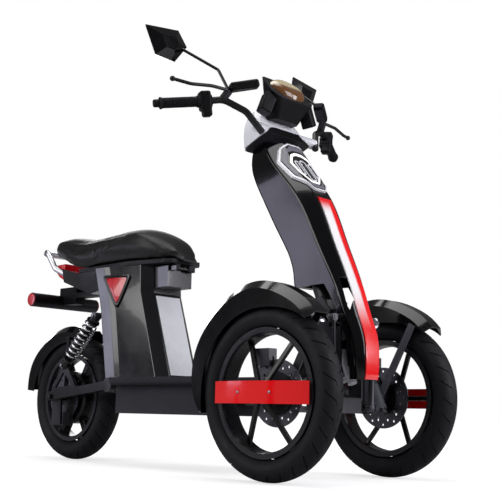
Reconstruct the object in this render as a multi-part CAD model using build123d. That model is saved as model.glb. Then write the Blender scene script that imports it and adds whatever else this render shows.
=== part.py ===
"""Tilting three-wheel electric scooter: two steered front wheels, one driven rear wheel.

Millimetres. +X is forward, +Y is the rider's left, +Z is up, z = 0 is the ground.
Everything is drawn from the front axle line (x = 0) and stored from the ground point
under the middle of the overall length.
"""
import math
import os

from build123d import *

# ---- driving dimensions -------------------------------------------------------------
wheelbase = 1275.0
track = 546.0
rake = 23.0                   # steering axis and kingpins, degrees from vertical

front_tyre_radius = 245.0
front_tyre_width = 83.0
front_rim_width = 62.0
front_rim_radius = 181.0      # over the flanges
front_rim_opening = 166.0
rear_tyre_radius = 234.0
rear_tyre_width = 95.0
rear_rim_width = 72.0
rear_rim_radius = 165.0
rear_rim_opening = 150.0
rim_bed = 5.0                 # thickness of the rim's bed and flanges
rear_fender_radius = 280.0
front_axle_x = (wheelbase + rear_fender_radius - front_tyre_radius) / 2

axle_radius = 10.0
running_gap = 0.05            # radial clearance of every shaft in its bore
seat_gap = 0.3                # between pieces of different bodies that nearly touch

hub_outer_face = 46.0         # outboard of the wheel's centre plane
hub_inner_face = 26.0         # inboard of it, where the brake disc is bolted
disc_radius = 95.0
disc_bore = 52.0
disc_thickness = 4.0
spoke_count = 6
spoke_width = 15.0
spoke_thickness = 12.0

kingpin_y = 215.0
kingpin_radius = 9.0
kingpin_housing_radius = 19.0
kingpin_housing_half = 40.0
lug_thickness = 12.0
steering_arm = 60.0           # knuckle and pitman arms are equal and parallel
steering_arm_level = 37.3     # relay link's middle plane, along the kingpin above the axle
relay_thickness = 10.0
arm_thickness = 12.0
steering_pin_radius = 6.0

pivot_y = 125.0               # outer pivots of the leaning linkage
upper_pivot_z = 468.0
lower_pivot_z = 212.0
beam_x = 45.0                 # middle plane of both cross beams
beam_eye_radius = 16.0
cheek_y = 46.0                # inner faces of the frame's two cheek plates
beam_depth = 30.0
pivot_pin_radius = 8.0

steering_base = (0.0, 0.0, 450.0)   # a point on the steering axis
head_tube_radius = 27.0
head_tube_low = 20.0                # along the axis from the base point
head_tube_high = 600.0
column_radius = 14.0
column_gap = 1.0                    # round the column, between its bearings
column_top = 668.0

swingarm_pivot = (-935.0, 276.0)
rail_y = 76.0
rail_radius = 13.0
swingarm_y = 112.0
swingarm_tube = 28.0
shock_top = (-1031.0, 527.0)
shock_foot = (-1212.0, 347.0)
spring_radius = 27.0
spring_wire = 8.0
spring_turns = 8

floor_top = 300.0
floor_thickness = 26.0
floor_half_width = 170.0
floor_front = -345.0
floor_rear = -905.0
floor_neck = 62.0
floor_neck_front = -120.0
cover_bottom = 178.0
wall = 3.0

seat_hinge = (-690.0, 686.0)
seat_rest = 700.3             # underside of the seat's base, on the tower's rim

bar_radius = 11.0
bar_fit = 0.02                # round the handlebar, under everything clamped on it
yoke_foot = 652.0             # along the steering axis
yoke_height = 118.0

os.makedirs("parts", exist_ok=True)


# ---- helpers ------------------------------------------------------------------------
def rod(start, end, radius):
    """Round bar between two points."""
    start = Vector(*start)
    end = Vector(*end)
    return Solid.make_cylinder(radius, (end - start).length, Plane(origin=start, z_dir=end - start))


def bent_tube(points, bends, radius):
    """Round bar along straight runs joined by tangent arcs."""
    path = FilletPolyline(*points, radius=bends)
    section = Plane(origin=path @ 0, z_dir=path % 0) * Circle(radius)
    return sweep(section, path=path)


def block(x, y, z):
    """Box between two values on each axis."""
    size = [b - a for a, b in (x, y, z)]
    middle = [(a + b) / 2 for a, b in (x, y, z)]
    return Pos(*middle) * Box(*size)


def side_plate(points, y_low, y_high):
    """Plate whose outline is drawn in side view (x, z)."""
    outline = Polyline(*[(x, 0, z) for x, z in points], close=True)
    plate = extrude(make_face(outline), amount=y_high - y_low, dir=(0, 1, 0))
    return Pos(0, y_low, 0) * plate


def prism_loft(sections):
    """Ruled solid through horizontal polygons, each given as (z, points)."""
    faces = []
    for z, points in sections:
        faces.append(make_face(Polyline(*[(x, y, z) for x, y in points], close=True)))
    return loft(faces, ruled=True)


def rounded(points, radius):
    """Flat face through (x, y) points with every corner rounded."""
    face = make_face(Polyline(*points, close=True))
    return fillet(face.vertices(), radius)


def pillow(length, width, height, radius):
    """Box with all its edges rounded."""
    body = Box(length, width, height)
    return fillet(body.edges(), radius)


def mirrored(shape):
    """The same piece on the other side of the vehicle."""
    return shape.mirror(Plane.XZ)


def joined(*shapes):
    result = shapes[0]
    for shape in shapes[1:]:
        result = result + shape
    return result


def solids_of(*shapes):
    """Several solids that share a node."""
    found = []
    for shape in shapes:
        found.extend(shape.solids())
    return Compound(found)


axis_up = Vector(-math.sin(math.radians(rake)), 0, math.cos(math.radians(rake)))
axis_fore = Vector(math.cos(math.radians(rake)), 0, math.sin(math.radians(rake)))


def on_axis(base, along, fore=0.0, y=None):
    """Point measured along a raked axis and square to it."""
    point = Vector(*base) + axis_up * along + axis_fore * fore
    if y is not None:
        point = Vector(point.X, y, point.Z)
    return (point.X, point.Y, point.Z)


kingpin_base = (0.0, -kingpin_y, front_tyre_radius)

# ---- wheels (local: y = 0 is the wheel's plane, -y is outboard) ---------------------


def ring(points):
    """Solid of revolution about the wheel's axle from (y, radius) points."""
    outline = Polyline(*[(0, y, r) for y, r in points], close=True)
    return revolve(make_face(outline), Axis.Y, 360)


def tyre(radius, width, rim_radius, rim_width):
    half = width / 2
    bead = rim_width / 2 - rim_bed - 0.3
    seat = rim_radius - 9.7
    shoulder = radius - 0.22 * (radius - rim_radius) - 4
    wall_mid = rim_radius + 0.42 * (radius - rim_radius)
    with BuildSketch(Plane.YZ) as section:
        with BuildLine():
            Polyline((-bead, rim_radius + 1), (-bead, seat), (bead, seat), (bead, rim_radius + 1))
            ThreePointArc((bead, rim_radius + 1), (half, wall_mid), (half - 6, shoulder))
            ThreePointArc((half - 6, shoulder), (0, radius), (-half + 6, shoulder))
            ThreePointArc((-half + 6, shoulder), (-half, wall_mid), (-bead, rim_radius + 1))
        make_face()
    return revolve(section.sketch, Axis.Y, 360)


def rim(rim_radius, opening, width):
    half = width / 2
    bed = rim_radius - 10
    return ring([
        (-half, rim_radius), (-half + rim_bed, rim_radius), (-half + rim_bed, bed),
        (half - rim_bed, bed), (half - rim_bed, rim_radius), (half, rim_radius),
        (half, opening), (half - 8, opening - 3), (-half + 8, opening - 3), (-half, opening),
    ])


def spoke(inner, outer, width, thickness):
    """Straight bar from (y, radius) to (y, radius), standing up from the axle."""
    start = Vector(0, inner[0], inner[1])
    end = Vector(0, outer[0], outer[1])
    section = Plane(origin=start, x_dir=(1, 0, 0), z_dir=end - start) * RectangleRounded(
        width, thickness, 3)
    return extrude(section, amount=(end - start).length)


def front_wheel():
    hub = ring([
        (-hub_outer_face, 0), (-hub_outer_face, 27), (-hub_outer_face + 14, 33),
        (-6, 27), (hub_inner_face - 6, 30), (hub_inner_face - 6, 62), (hub_inner_face, 62),
        (hub_inner_face, disc_bore - 0.3), (hub_inner_face + disc_thickness, disc_bore - 0.3),
        (hub_inner_face + disc_thickness, 22), (hub_inner_face + 6, 22), (hub_inner_face + 6, 0),
    ])
    bore = Rot(90, 0, 0) * Cylinder(axle_radius + running_gap, 300)
    arm = spoke((-38, 24), (3, front_rim_opening + 1), spoke_width, spoke_thickness)
    wheel = joined(rim(front_rim_radius, front_rim_opening, front_rim_width), hub)
    for index in range(spoke_count):
        wheel = wheel + Rot(0, 360 / spoke_count * (index + 0.5) + 0, 0) * arm
    return wheel - bore


def brake_disc(radius, bore, face, thickness, holes):
    plate = Rot(90, 0, 0) * (Cylinder(radius, thickness) - Cylinder(bore, thickness + 2))
    for index in range(holes):
        angle = 360 / holes * index
        reach = radius - 12 - 12 * (index % 2)
        plate = plate - Rot(0, angle, 0) * Pos(0, 0, reach) * Rot(90, 0, 0) * Cylinder(4, thickness + 2)
    return Pos(0, face + thickness / 2, 0) * plate


front_wheel_place = Pos(0, -track / 2, front_tyre_radius)
rear_wheel_place = Pos(-wheelbase, 0, rear_tyre_radius)

parts = {}
parts["right_tyre"] = front_wheel_place * tyre(
    front_tyre_radius, front_tyre_width, front_rim_radius, front_rim_width)
parts["right_wheel"] = front_wheel_place * front_wheel()
parts["right_brake_disc"] = front_wheel_place * brake_disc(
    disc_radius, disc_bore, hub_inner_face, disc_thickness, 24)

# ---- rear wheel with its hub motor --------------------------------------------------
motor_radius = 100.0
motor_half = 44.0
rear_disc_face = 60.0         # both hub faces, from the wheel's middle plane
rear_disc_radius = 90.0
rear_axle_radius = 9.0


def motor_wheel():
    drum = ring([
        (-rear_disc_face, 0), (-rear_disc_face, 46), (-motor_half, 56), (-motor_half, motor_radius - 8),
        (-motor_half + 8, motor_radius), (motor_half - 8, motor_radius), (motor_half, motor_radius - 8),
        (motor_half, 56), (rear_disc_face, 46), (rear_disc_face, 0),
    ])
    arm = spoke((0, motor_radius - 4), (0, rear_rim_opening + 1), 26, 34)
    wheel = joined(rim(rear_rim_radius, rear_rim_opening, rear_rim_width), drum)
    for index in range(6):
        wheel = wheel + Rot(0, 60 * index + 30, 0) * arm
    return wheel - Rot(90, 0, 0) * Cylinder(rear_axle_radius + running_gap, 300)


parts["rear_tyre"] = rear_wheel_place * tyre(
    rear_tyre_radius, rear_tyre_width, rear_rim_radius, rear_rim_width)
parts["rear_motor_wheel"] = rear_wheel_place * motor_wheel()
parts["rear_brake_disc"] = rear_wheel_place * Rot(0, 0, 180) * brake_disc(
    rear_disc_radius, 30, rear_disc_face, disc_thickness, 20)

# ---- right knuckle, caliper, side cover and fender ----------------------------------
wheel_y = -track / 2
hub_inboard_y = wheel_y + hub_inner_face + 6
fender_half = 50.0
fender_plane = wheel_y + fender_half     # inner side of the fender's skirt
axle_end_y = wheel_y - hub_outer_face - 14


def steering_lever(base, level):
    """Arm, boss and pin that carry one eye of the relay link."""
    middle = level - relay_thickness / 2 - seat_gap - arm_thickness / 2
    arm = Plane(origin=Vector(*on_axis(base, middle)), x_dir=axis_fore, z_dir=axis_up) * (
        Pos(-steering_arm / 2, 0, 0) * Box(steering_arm, 18, arm_thickness))
    low = middle - arm_thickness / 2
    boss = rod(on_axis(base, low, -steering_arm), on_axis(base, low + arm_thickness, -steering_arm), 11)
    pin = rod(on_axis(base, low, -steering_arm),
              on_axis(base, level + relay_thickness / 2 + 4, -steering_arm), steering_pin_radius)
    return joined(arm, boss, pin)


def knuckle():
    """Kingpin housing with its axle, steering arm, caliper carrier and fender stay."""
    housing = rod(on_axis(kingpin_base, -kingpin_housing_half), on_axis(kingpin_base, kingpin_housing_half),
                  kingpin_housing_radius)
    shoulder = hub_inboard_y + seat_gap
    axle = Pos(0, 0, front_tyre_radius) * ring([
        (-kingpin_y + 6, 0), (-kingpin_y + 6, 17.5), (shoulder, 17.5), (shoulder, axle_radius),
        (axle_end_y, axle_radius), (axle_end_y, 0)])
    carrier_y = wheel_y + hub_inner_face + disc_thickness + 3.5
    carrier = side_plate([(-14, 225), (14, 262), (-22, 321), (-90, 321), (-86, 300), (-30, 250)],
                         carrier_y, carrier_y + 5)
    neck = block((-17, 13), (carrier_y + 2, -kingpin_y + 3), (237, 257))
    stay = side_plate([(-6, 250), (16, 236), (138, 462), (118, 474)], fender_plane, fender_plane + 5)
    body = joined(carrier + neck, housing, axle, stay, steering_lever(kingpin_base, steering_arm_level))
    bore = rod(on_axis(kingpin_base, -kingpin_housing_half - 1), on_axis(kingpin_base, kingpin_housing_half + 1),
               kingpin_radius + running_gap)
    return body - bore


def fender_slice(angle, outer, skirt, half, plane_half=26.0):
    """Angular arch section at an angle from upright (positive is forward)."""
    turn = math.radians(angle)
    plane = Plane(origin=(0, 0, 0), x_dir=(0, 1, 0), z_dir=(math.cos(turn), 0, -math.sin(turn)))
    brow = outer - 24
    points = [
        (-half, skirt), (-half, brow), (-half + plane_half, outer), (half - plane_half, outer), (half, brow),
        (half, skirt), (half - wall, skirt), (half - wall, brow - 1.5), (half - plane_half - 1, outer - wall),
        (-half + plane_half + 1, outer - wall), (-half + wall, brow - 1.5), (-half + wall, skirt),
    ]
    return plane * make_face(Polyline(*points, close=True))


def fender(stations, half):
    """Arch lofted through (angle, outer radius, skirt radius) stations."""
    return loft([fender_slice(angle, outer, skirt, half) for angle, outer, skirt in stations])


front_fender_stations = [
    (-103, 268, 236), (-90, 292, 233), (-77, 305, 232), (-58, 313, 232), (-40, 313, 233),
    (-19, 318, 234), (5, 308, 236), (24, 294, 246), (40, 282, 254),
]
rear_fender_stations = [
    (-84, rear_fender_radius, 214), (-70, rear_fender_radius + 8, 212), (-52, rear_fender_radius + 8, 210),
    (-36, rear_fender_radius, 208), (-20, rear_fender_radius - 4, 208), (0, rear_fender_radius - 8, 210),
    (16, rear_fender_radius - 14, 214),
]


parts["right_knuckle"] = knuckle()

# caliper: two halves over the disc joined by a bridge
caliper_box = block((-80, -20), (-262, -230), (321.3, 371))
caliper_slot = block((-95, -17), (wheel_y + hub_inner_face - 1.2, wheel_y + hub_inner_face + disc_thickness + 1.2), (300, 350))
caliper = caliper_box - caliper_slot
parts["right_brake_caliper"] = caliper

parts["right_fender"] = front_wheel_place * fender(front_fender_stations, fender_half)


def side_cover():
    """Bowed strip across the wheel, carried by a cross bracket on the axle's end."""
    face_y = axle_end_y - 14
    with BuildSketch(Plane.XY) as plan:
        with BuildLine():
            ThreePointArc((-178, face_y + 30), (0, face_y), (178, face_y + 30))
            Line((178, face_y + 30), (177, face_y + 34))
            ThreePointArc((177, face_y + 34), (0, face_y + 4), (-177, face_y + 34))
            Line((-177, face_y + 34), (-178, face_y + 30))
        make_face()
    strip = Pos(0, 0, front_tyre_radius - 31) * extrude(plan.sketch, amount=62)
    bracket = block((-76, 76), (face_y + 9, face_y + 13), (front_tyre_radius - 16, front_tyre_radius + 16))
    posts = [rod((x, face_y + 3, front_tyre_radius), (x, face_y + 10, front_tyre_radius), 8) for x in (-60, 60)]
    socket = rod((0, face_y + 12, front_tyre_radius), (0, axle_end_y + 10, front_tyre_radius), 17)
    hole = rod((0, axle_end_y, front_tyre_radius), (0, axle_end_y + 20, front_tyre_radius), axle_radius)
    return joined(strip, bracket, socket, *posts) - hole


parts["right_side_cover"] = side_cover()

# ---- leaning linkage ----------------------------------------------------------------
pivots = [(-pivot_y, upper_pivot_z), (pivot_y, upper_pivot_z), (-pivot_y, lower_pivot_z), (pivot_y, lower_pivot_z)]


def eye(y, z, radius, half_depth):
    return rod((beam_x - half_depth, y, z), (beam_x + half_depth, y, z), radius)


def beam(z, tube_radius):
    """Cross beam with an eye at each end and one on the centre pivot."""
    bar = rod((beam_x, -pivot_y, z), (beam_x, pivot_y, z), tube_radius)
    body = bar
    bores = []
    for y in (-pivot_y, 0, pivot_y):
        body = body + eye(y, z, beam_eye_radius, beam_depth / 2)
        bores.append(eye(y, z, pivot_pin_radius + running_gap, beam_depth))
    for bore in bores:
        body = body - bore
    return body


parts["upper_tilt_beam"] = beam(upper_pivot_z, 13)
parts["lower_tilt_beam"] = beam(lower_pivot_z, 12)


def tilt_damper(side):
    """Slim damper between the two beams, on a stud at each end."""
    x = beam_x + beam_depth / 2
    top = (x + 14, side * 92, upper_pivot_z)
    foot = (x + 14, side * 84, lower_pivot_z)
    middle = (x + 14, side * 88, (upper_pivot_z + lower_pivot_z) / 2 - 20)
    studs = [rod((x - 6, point[1], point[2]), (x + 22, point[1], point[2]), 6) for point in (top, foot)]
    eyes = [rod((x + 7, point[1], point[2]), (x + 21, point[1], point[2]), 11) for point in (top, foot)]
    return joined(rod(top, foot, 5), rod(middle, foot, 9), *studs, *eyes)


dampers = [tilt_damper(side) - parts["upper_tilt_beam"] - parts["lower_tilt_beam"] for side in (-1, 1)]
parts["tilt_dampers"] = solids_of(*dampers)


def tilt_upright():
    back = beam_x - beam_depth / 2 - seat_gap
    post = block((back - 16, back), (-pivot_y - 13, -pivot_y + 13), (lower_pivot_z - 18, upper_pivot_z + 18))
    pins = [rod((back - 8, -pivot_y, z), (beam_x + beam_depth / 2 + 8, -pivot_y, z), pivot_pin_radius)
            for z in (upper_pivot_z, lower_pivot_z)]
    body = joined(post, *pins)
    for side in (-1, 1):
        near = kingpin_housing_half + seat_gap
        low = min(side * near, side * (near + lug_thickness))
        lug = rod(on_axis(kingpin_base, low), on_axis(kingpin_base, low + lug_thickness), 15)
        middle = on_axis(kingpin_base, low + lug_thickness / 2)
        web = Plane(origin=Vector(*middle), x_dir=axis_fore, z_dir=axis_up) * (
            Pos(0, (kingpin_y - pivot_y) / 2, 0) * Box(19, kingpin_y - pivot_y, lug_thickness))
        web = web + Plane(origin=Vector(middle[0], -pivot_y, middle[2]), x_dir=axis_fore, z_dir=axis_up) * (
            Pos((back - 6 - middle[0]) / 2, 0, 0) * Box(abs(back - 6 - middle[0]) + 5, 22, lug_thickness))
        body = joined(body, lug, web)
    pin = rod(on_axis(kingpin_base, -kingpin_housing_half - lug_thickness),
              on_axis(kingpin_base, kingpin_housing_half + lug_thickness), kingpin_radius)
    return body + pin


right_upright = tilt_upright()
parts["tilt_uprights"] = solids_of(right_upright, mirrored(right_upright))

# ---- main frame ---------------------------------------------------------------------
pivot_x, pivot_z = swingarm_pivot


def main_frame():
    head = rod(on_axis(steering_base, head_tube_low), on_axis(steering_base, head_tube_high), head_tube_radius)
    bore = rod(on_axis(steering_base, -10), on_axis(steering_base, 700), column_radius + column_gap)
    plates = []
    for y in (-cheek_y - 6, cheek_y):
        plates.append(side_plate([(-52, 520), (-10, 540), (24, 500), (24, 446), (68, 446), (68, 234), (20, 234),
                                  (20, 410), (-34, 462)], y, y + 6))
    lugs = []
    eye_back = beam_x - beam_depth / 2 - seat_gap
    eye_front = beam_x + beam_depth / 2 + seat_gap
    for z_low, z_high, z in ((440, 486, upper_pivot_z), (194, 240, lower_pivot_z)):
        lugs.append(block((20, eye_back), (-cheek_y - 1, cheek_y + 1), (z_low, z_high)))
        lugs.append(block((eye_front, 68), (-cheek_y - 1, cheek_y + 1), (z_low, z_high)))
        lugs.append(rod((21, 0, z), (67, 0, z), pivot_pin_radius))
    down = bent_tube([(-42, 0, 556), (-120, 0, 330), (-260, 0, 240), (-360, 0, 234)], [120, 120], 22)
    rails = []
    for side in (-1, 1):
        rails.append(bent_tube([(-335, side * 12, 234), (-420, side * rail_y, 226), (-850, side * rail_y, 226),
                                (-940, side * rail_y, 290)], [60, 60], rail_radius))
        rails.append(rod((-936, side * rail_y, 286), (-992, side * rail_y, 570), rail_radius - 1))
    crosses = [rod((x, -rail_y, 226), (x, rail_y, 226), 12) for x in (-440, -840)]
    pivot_tube = rod((pivot_x, -92, pivot_z), (pivot_x, 92, pivot_z), 17)
    top_cross = rod((-990, -rail_y, 560), (-990, rail_y, 560), 11)
    ears = [rod((-990, side * rail_y, 556), (shock_top[0], side * (swingarm_y - 15), shock_top[1]), 9)
            for side in (-1, 1)]
    ears = ears + [rod((shock_top[0], side * (swingarm_y - 30), shock_top[1]),
                       (shock_top[0], side * (swingarm_y + 18), shock_top[1]), 6) for side in (-1, 1)]
    gusset = joined(block((-44, 12), (-cheek_y - 2, cheek_y + 2), (500, 528)),
                    block((62, 68), (-cheek_y - 2, cheek_y + 2), (380, 404)),
                    block((66, 137.2), (-14, 14), (386, 398)))
    body = joined(head, down, gusset, *plates, *rails, *crosses, pivot_tube, top_cross, *ears)
    body = body - bore
    return joined(body, *lugs)


parts["main_frame"] = main_frame()

# ---- steering -----------------------------------------------------------------------
def kingpin_level_offset():
    """Distance along the axis between the pitman arm's plane and the steering base point."""
    level = Vector(*kingpin_base).dot(axis_up) + steering_arm_level
    return Vector(*steering_base).dot(axis_up) - level


pitman_level = -kingpin_level_offset()


def handlebar(side, clearance=0.0):
    """Half of the handlebar, side is -1 on the rider's right."""
    points = [(x, side * y, z) for x, y, z in
              ((-193, 128, 1062), (-228, 168, 1128), (-262, 236, 1158), (-295, 310, 1140), (-357, 421, 1120))]
    return bent_tube(points, [34, 60, 100], bar_radius + clearance)


def steering_yoke():
    """Column, pitman arm and the cast yoke that clamps the handlebars."""
    shaft = rod(on_axis(steering_base, pitman_level - 34), on_axis(steering_base, column_top), column_radius)
    foot = Plane(origin=Vector(*on_axis(steering_base, yoke_foot)), x_dir=axis_fore, z_dir=axis_up)
    yoke = loft([foot * RectangleRounded(112, 212, 24), foot.offset(60) * RectangleRounded(92, 200, 24),
                 foot.offset(yoke_height) * RectangleRounded(66, 140, 22)])
    clamps = []
    for side in (-1, 1):
        clamps.append(rod((-240, side * 60, 1095), (-205, side * 140, 1080), 17))
    body = joined(shaft, yoke, steering_lever(steering_base, pitman_level), *clamps)
    for side in (-1, 1):
        body = body - handlebar(side, bar_fit)
    return body


parts["steering_yoke"] = steering_yoke()


def relay_link():
    """Plate that joins both knuckle arms to the pitman arm."""
    centre = Plane(origin=Vector(*on_axis(steering_base, pitman_level, -steering_arm)),
                   x_dir=axis_fore, z_dir=axis_up)
    half = relay_thickness / 2
    back = (Vector(*on_axis(kingpin_base, steering_arm_level, -steering_arm))
            - Vector(*on_axis(steering_base, pitman_level, -steering_arm))).dot(axis_fore)
    outline = Polyline((-9, -9), (back + 9, -kingpin_y + 40), (back + 9, -kingpin_y), (back - 9, -kingpin_y),
                       (back - 9, -kingpin_y + 40), (-27, -9), (-27, 9), (back - 9, kingpin_y - 40),
                       (back - 9, kingpin_y), (back + 9, kingpin_y), (back + 9, kingpin_y - 40), (-9, 9),
                       (9, 9), (9, -9), close=True)
    plate = Pos(0, 0, -half) * extrude(make_face(outline), amount=relay_thickness)
    for x, y in ((back, -kingpin_y), (back, kingpin_y), (0, 0)):
        plate = plate + Pos(x, y, 0) * Cylinder(12, relay_thickness)
    for x, y in ((back, -kingpin_y), (back, kingpin_y), (0, 0)):
        plate = plate - Pos(x, y, 0) * Cylinder(steering_pin_radius + running_gap, 20)
    return centre * plate


parts["relay_link"] = relay_link()

# ---- handlebar fittings -------------------------------------------------------------
parts["handlebars"] = solids_of(handlebar(-1), handlebar(1))

grip_outer = Vector(-357, -421, 1120)
grip_inner = Vector(-295, -310, 1140)
grip_line = (grip_outer - grip_inner).normalized()


def along_grip(distance):
    """Point on the right grip's axis, measured outwards from its inner end."""
    point = grip_inner + grip_line * distance
    return (point.X, point.Y, point.Z)


def grip():
    body = rod(along_grip(2), along_grip(128), 16)
    flanges = [rod(along_grip(2), along_grip(7), 19), rod(along_grip(123), along_grip(129), 19)]
    cap = rod(along_grip(127.3), along_grip(147), 13)
    return joined(body, *flanges, cap) - handlebar(-1, bar_fit)


def switch_housing():
    drum = rod(along_grip(-40), along_grip(1.7), 20)
    pod = Plane(origin=Vector(*along_grip(-19)), x_dir=(1, 0, 0), z_dir=grip_line) * (
        pillow(42, 62, 36, 8))
    lobe = Plane(origin=Vector(*along_grip(-21)), x_dir=(1, 0, 0), z_dir=grip_line) * (
        Pos(4, -30, 0) * pillow(34, 40, 30, 8))
    return joined(drum, pod, lobe) - handlebar(-1, bar_fit)


def brake_lever():
    return bent_tube([(-246, -236, 1186), (-250, -300, 1184), (-268, -370, 1176), (-292, -424, 1184)],
                     [90, 60], 5.5) + Pos(-292, -424, 1184) * Sphere(8.5)


def master_cylinder():
    bracket = rod((-268, -238, 1156), (-246, -228, 1186), 13)
    pod = Pos(-222, -186, 1207) * Rot(0, 0, -32) * Rot(14, 0, 0) * pillow(38, 96, 28, 9)
    return joined(bracket, pod) - handlebar(-1, bar_fit)


right_grip = grip()
parts["grips"] = solids_of(right_grip, mirrored(right_grip))
right_switch = switch_housing()
parts["switch_housings"] = solids_of(right_switch, mirrored(right_switch))
right_cylinder = master_cylinder()
right_lever = brake_lever() - right_cylinder
parts["brake_levers"] = solids_of(right_lever, mirrored(right_lever))
parts["master_cylinders"] = solids_of(right_cylinder, mirrored(right_cylinder))

visor_plane = Plane(origin=Vector(-207, 0, 1232), x_dir=(0, 1, 0), z_dir=(0.73, 0, 0.68))
cowl = loft([Pos(-230, 0, 1128) * RectangleRounded(56, 116, 20), visor_plane * RectangleRounded(190, 118, 34)],
            ruled=True) - parts["steering_yoke"]
parts["instrument_cowl"] = cowl
dome = loft([visor_plane.offset(0.3) * Ellipse(74, 52), visor_plane.offset(12) * Ellipse(66, 45),
             visor_plane.offset(20) * Ellipse(44, 28)])
parts["instrument_screen"] = dome


def indicator_pod(side):
    pod = Pos(-206, side * 98, 1166) * Rot(side * 24, 0, side * 20) * pillow(40, 40, 70, 5)
    return pod - cowl - parts["steering_yoke"]


parts["front_indicators"] = solids_of(indicator_pod(-1), indicator_pod(1))


def mirror(x, head, stem):
    """Faceted mirror head drawn from behind as (y, z), with its bent stem."""
    middle_y = sum(y for y, z in head) / len(head)
    middle_z = sum(z for y, z in head) / len(head)
    rings = []
    for depth, share in ((0, 0.94), (7, 1.0), (24, 0.42)):
        rings.append(make_face(Polyline(*[(x + depth, middle_y + (y - middle_y) * share,
                                           middle_z + (z - middle_z) * share) for y, z in head], close=True)))
    return loft(rings, ruled=True) + bent_tube(stem, [18], 5)


mirror_right = mirror(-390, [(-464, 1370), (-328, 1390), (-290, 1345), (-340, 1281), (-418, 1285)],
                      [(-252, -226, 1190), (-290, -236, 1262), (-381, -312, 1332)])
mirror_left = mirror(-360, [(318, 1352), (290, 1276), (232, 1270), (182, 1312), (190, 1368)],
                     [(-252, 226, 1190), (-290, 236, 1262), (-351, 236, 1312)])
parts["mirrors"] = solids_of(mirror_right - right_cylinder, mirror_left - mirrored(right_cylinder))

def yoke_collar():
    """Black lip round the front of the yoke's foot."""
    low = Plane(origin=Vector(*on_axis(steering_base, yoke_foot - 6)), x_dir=axis_fore, z_dir=axis_up)
    lip = loft([low * Pos(8, 0) * RectangleRounded(112, 216, 20),
                low.offset(32) * Pos(12, 0) * RectangleRounded(100, 150, 20)], ruled=True)
    return lip - parts["steering_yoke"]


parts["yoke_collar"] = yoke_collar()

# ---- front shield, stripe and headlight ---------------------------------------------


def shield_section(z, front, rear, half_front, half_side, half_rear, inset=0.0):
    """Six-sided horizontal section with rounded corners; a negative inset grows it."""
    shoulder = front - (half_side - half_front) * 0.75
    points = [(front - inset, -half_front + inset * 0.4), (front - inset, half_front - inset * 0.4),
              (shoulder - inset * 0.4, half_side - inset), (rear + inset, half_rear - inset),
              (rear + inset, -half_rear + inset), (shoulder - inset * 0.4, -half_side + inset)]
    return Plane.XY.offset(z) * rounded(points, 15 - inset)


shield_top = 1046.0
shield_stations = [
    (1056, -196, -287, 30, 78, 68), (1020, -172, -288, 38, 90, 80), (950, -124, -284, 44, 94, 82),
    (833, -36, -230, 42, 86, 72), (740, 6, -182, 41, 79, 60), (650, 46, -138, 40, 74, 52),
    (572, 80, -128, 38, 67, 46), (520, 99.5, -112, 36.5, 65, 45), (463, 120, -100, 36, 63, 44),
    (430, 132, -96, 35, 61, 44), (385, 141, -92, 34, 59, 43), (340, 142, -90, 32, 56, 42),
    (288, 137, -90, 30, 50, 40),
]
leg_back = [(10, 574), (45, 520), (74, 463), (84, 430), (89, 410), (93, 385), (95, 340), (96, 290)]
leg_foot = 291.0


def shield_solid(inset=0.0):
    return loft([shield_section(*station, inset) for station in shield_stations])


def above_top(drop):
    """Everything over the shield's top, which slopes down behind under the turning yoke."""
    plane = Plane(origin=Vector(*on_axis(steering_base, yoke_foot - 12 - drop)), x_dir=axis_fore, z_dir=axis_up)
    slope = plane * (Pos(0, 0, 150) * Box(700, 400, 300))
    return slope + block((-600, 200), (-200, 200), (shield_top - drop, shield_top + 200))


def behind_leg(grow):
    """Everything behind the lower leg and under its foot."""
    back = [(x + grow, z + (grow if z > 570 else 0)) for x, z in leg_back]
    return side_plate([(-400, leg_back[0][1] + grow), *back, (200, leg_foot + grow), (200, 200), (-400, 200)],
                      -150, 150)


def front_shield():
    body = shield_solid() - above_top(0) - behind_leg(0)
    hollow = shield_solid(wall) - above_top(wall) - behind_leg(wall)
    neck_hole = rod(on_axis(steering_base, 300), on_axis(steering_base, 720), head_tube_radius + 4)
    rear_way = block((-60, 99.5), (-cheek_y - 7, cheek_y + 7), (280, 590))
    floor_way = block((-100, 99.5), (-40, 40), (570, 590))
    return body - hollow - neck_hole - rear_way - floor_way


parts["front_shield"] = front_shield() - parts["main_frame"]

stripe_half = 30.0
stripe_top = 838.0


def stripe_panel():
    strip = side_plate([(-60, stripe_top + 22), (-20, stripe_top), (220, stripe_top), (220, leg_foot),
                        (100, leg_foot), (100, 450), (-60, 760)], -stripe_half, stripe_half)
    return (shield_solid(-4.0) & strip) - (shield_solid(-0.25) & strip)


parts["front_stripe_panel"] = stripe_panel()


def lamp_prism(shrink):
    """Straight prism, square to the lamp's face, with the lamp's outline."""
    slope = Plane(origin=Vector(-126, 0, 957), x_dir=(0, 1, 0), z_dir=(0.81, 0, 0.586))
    outline = rounded([(-28, -104), (28, -104), (74, -42), (86, 34), (62, 86), (24, 104),
                       (-24, 104), (-62, 86), (-86, 34), (-74, -42)], 10)
    outline = offset(outline, -shrink) if shrink else outline
    return slope * (Pos(0, 0, -60) * extrude(outline, amount=150))




def lamp_layer(low, high, outline):
    return (shield_solid(-high) & outline) - (shield_solid(-low) & outline)


lamp_shell = lamp_layer(0.3, 9.0, lamp_prism(0)) - lamp_layer(4.0, 12.0, lamp_prism(6)) - above_top(0)
parts["headlight_housing"] = lamp_shell.solids().sort_by(SortBy.VOLUME)[-1]
parts["headlight_lens"] = lamp_layer(4.3, 8.0, lamp_prism(6.3)) - above_top(0)
parts["front_stripe_panel"] = parts["front_stripe_panel"] - lamp_prism(-0.4)

# ---- floor, battery, seat tower -----------------------------------------------------


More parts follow.
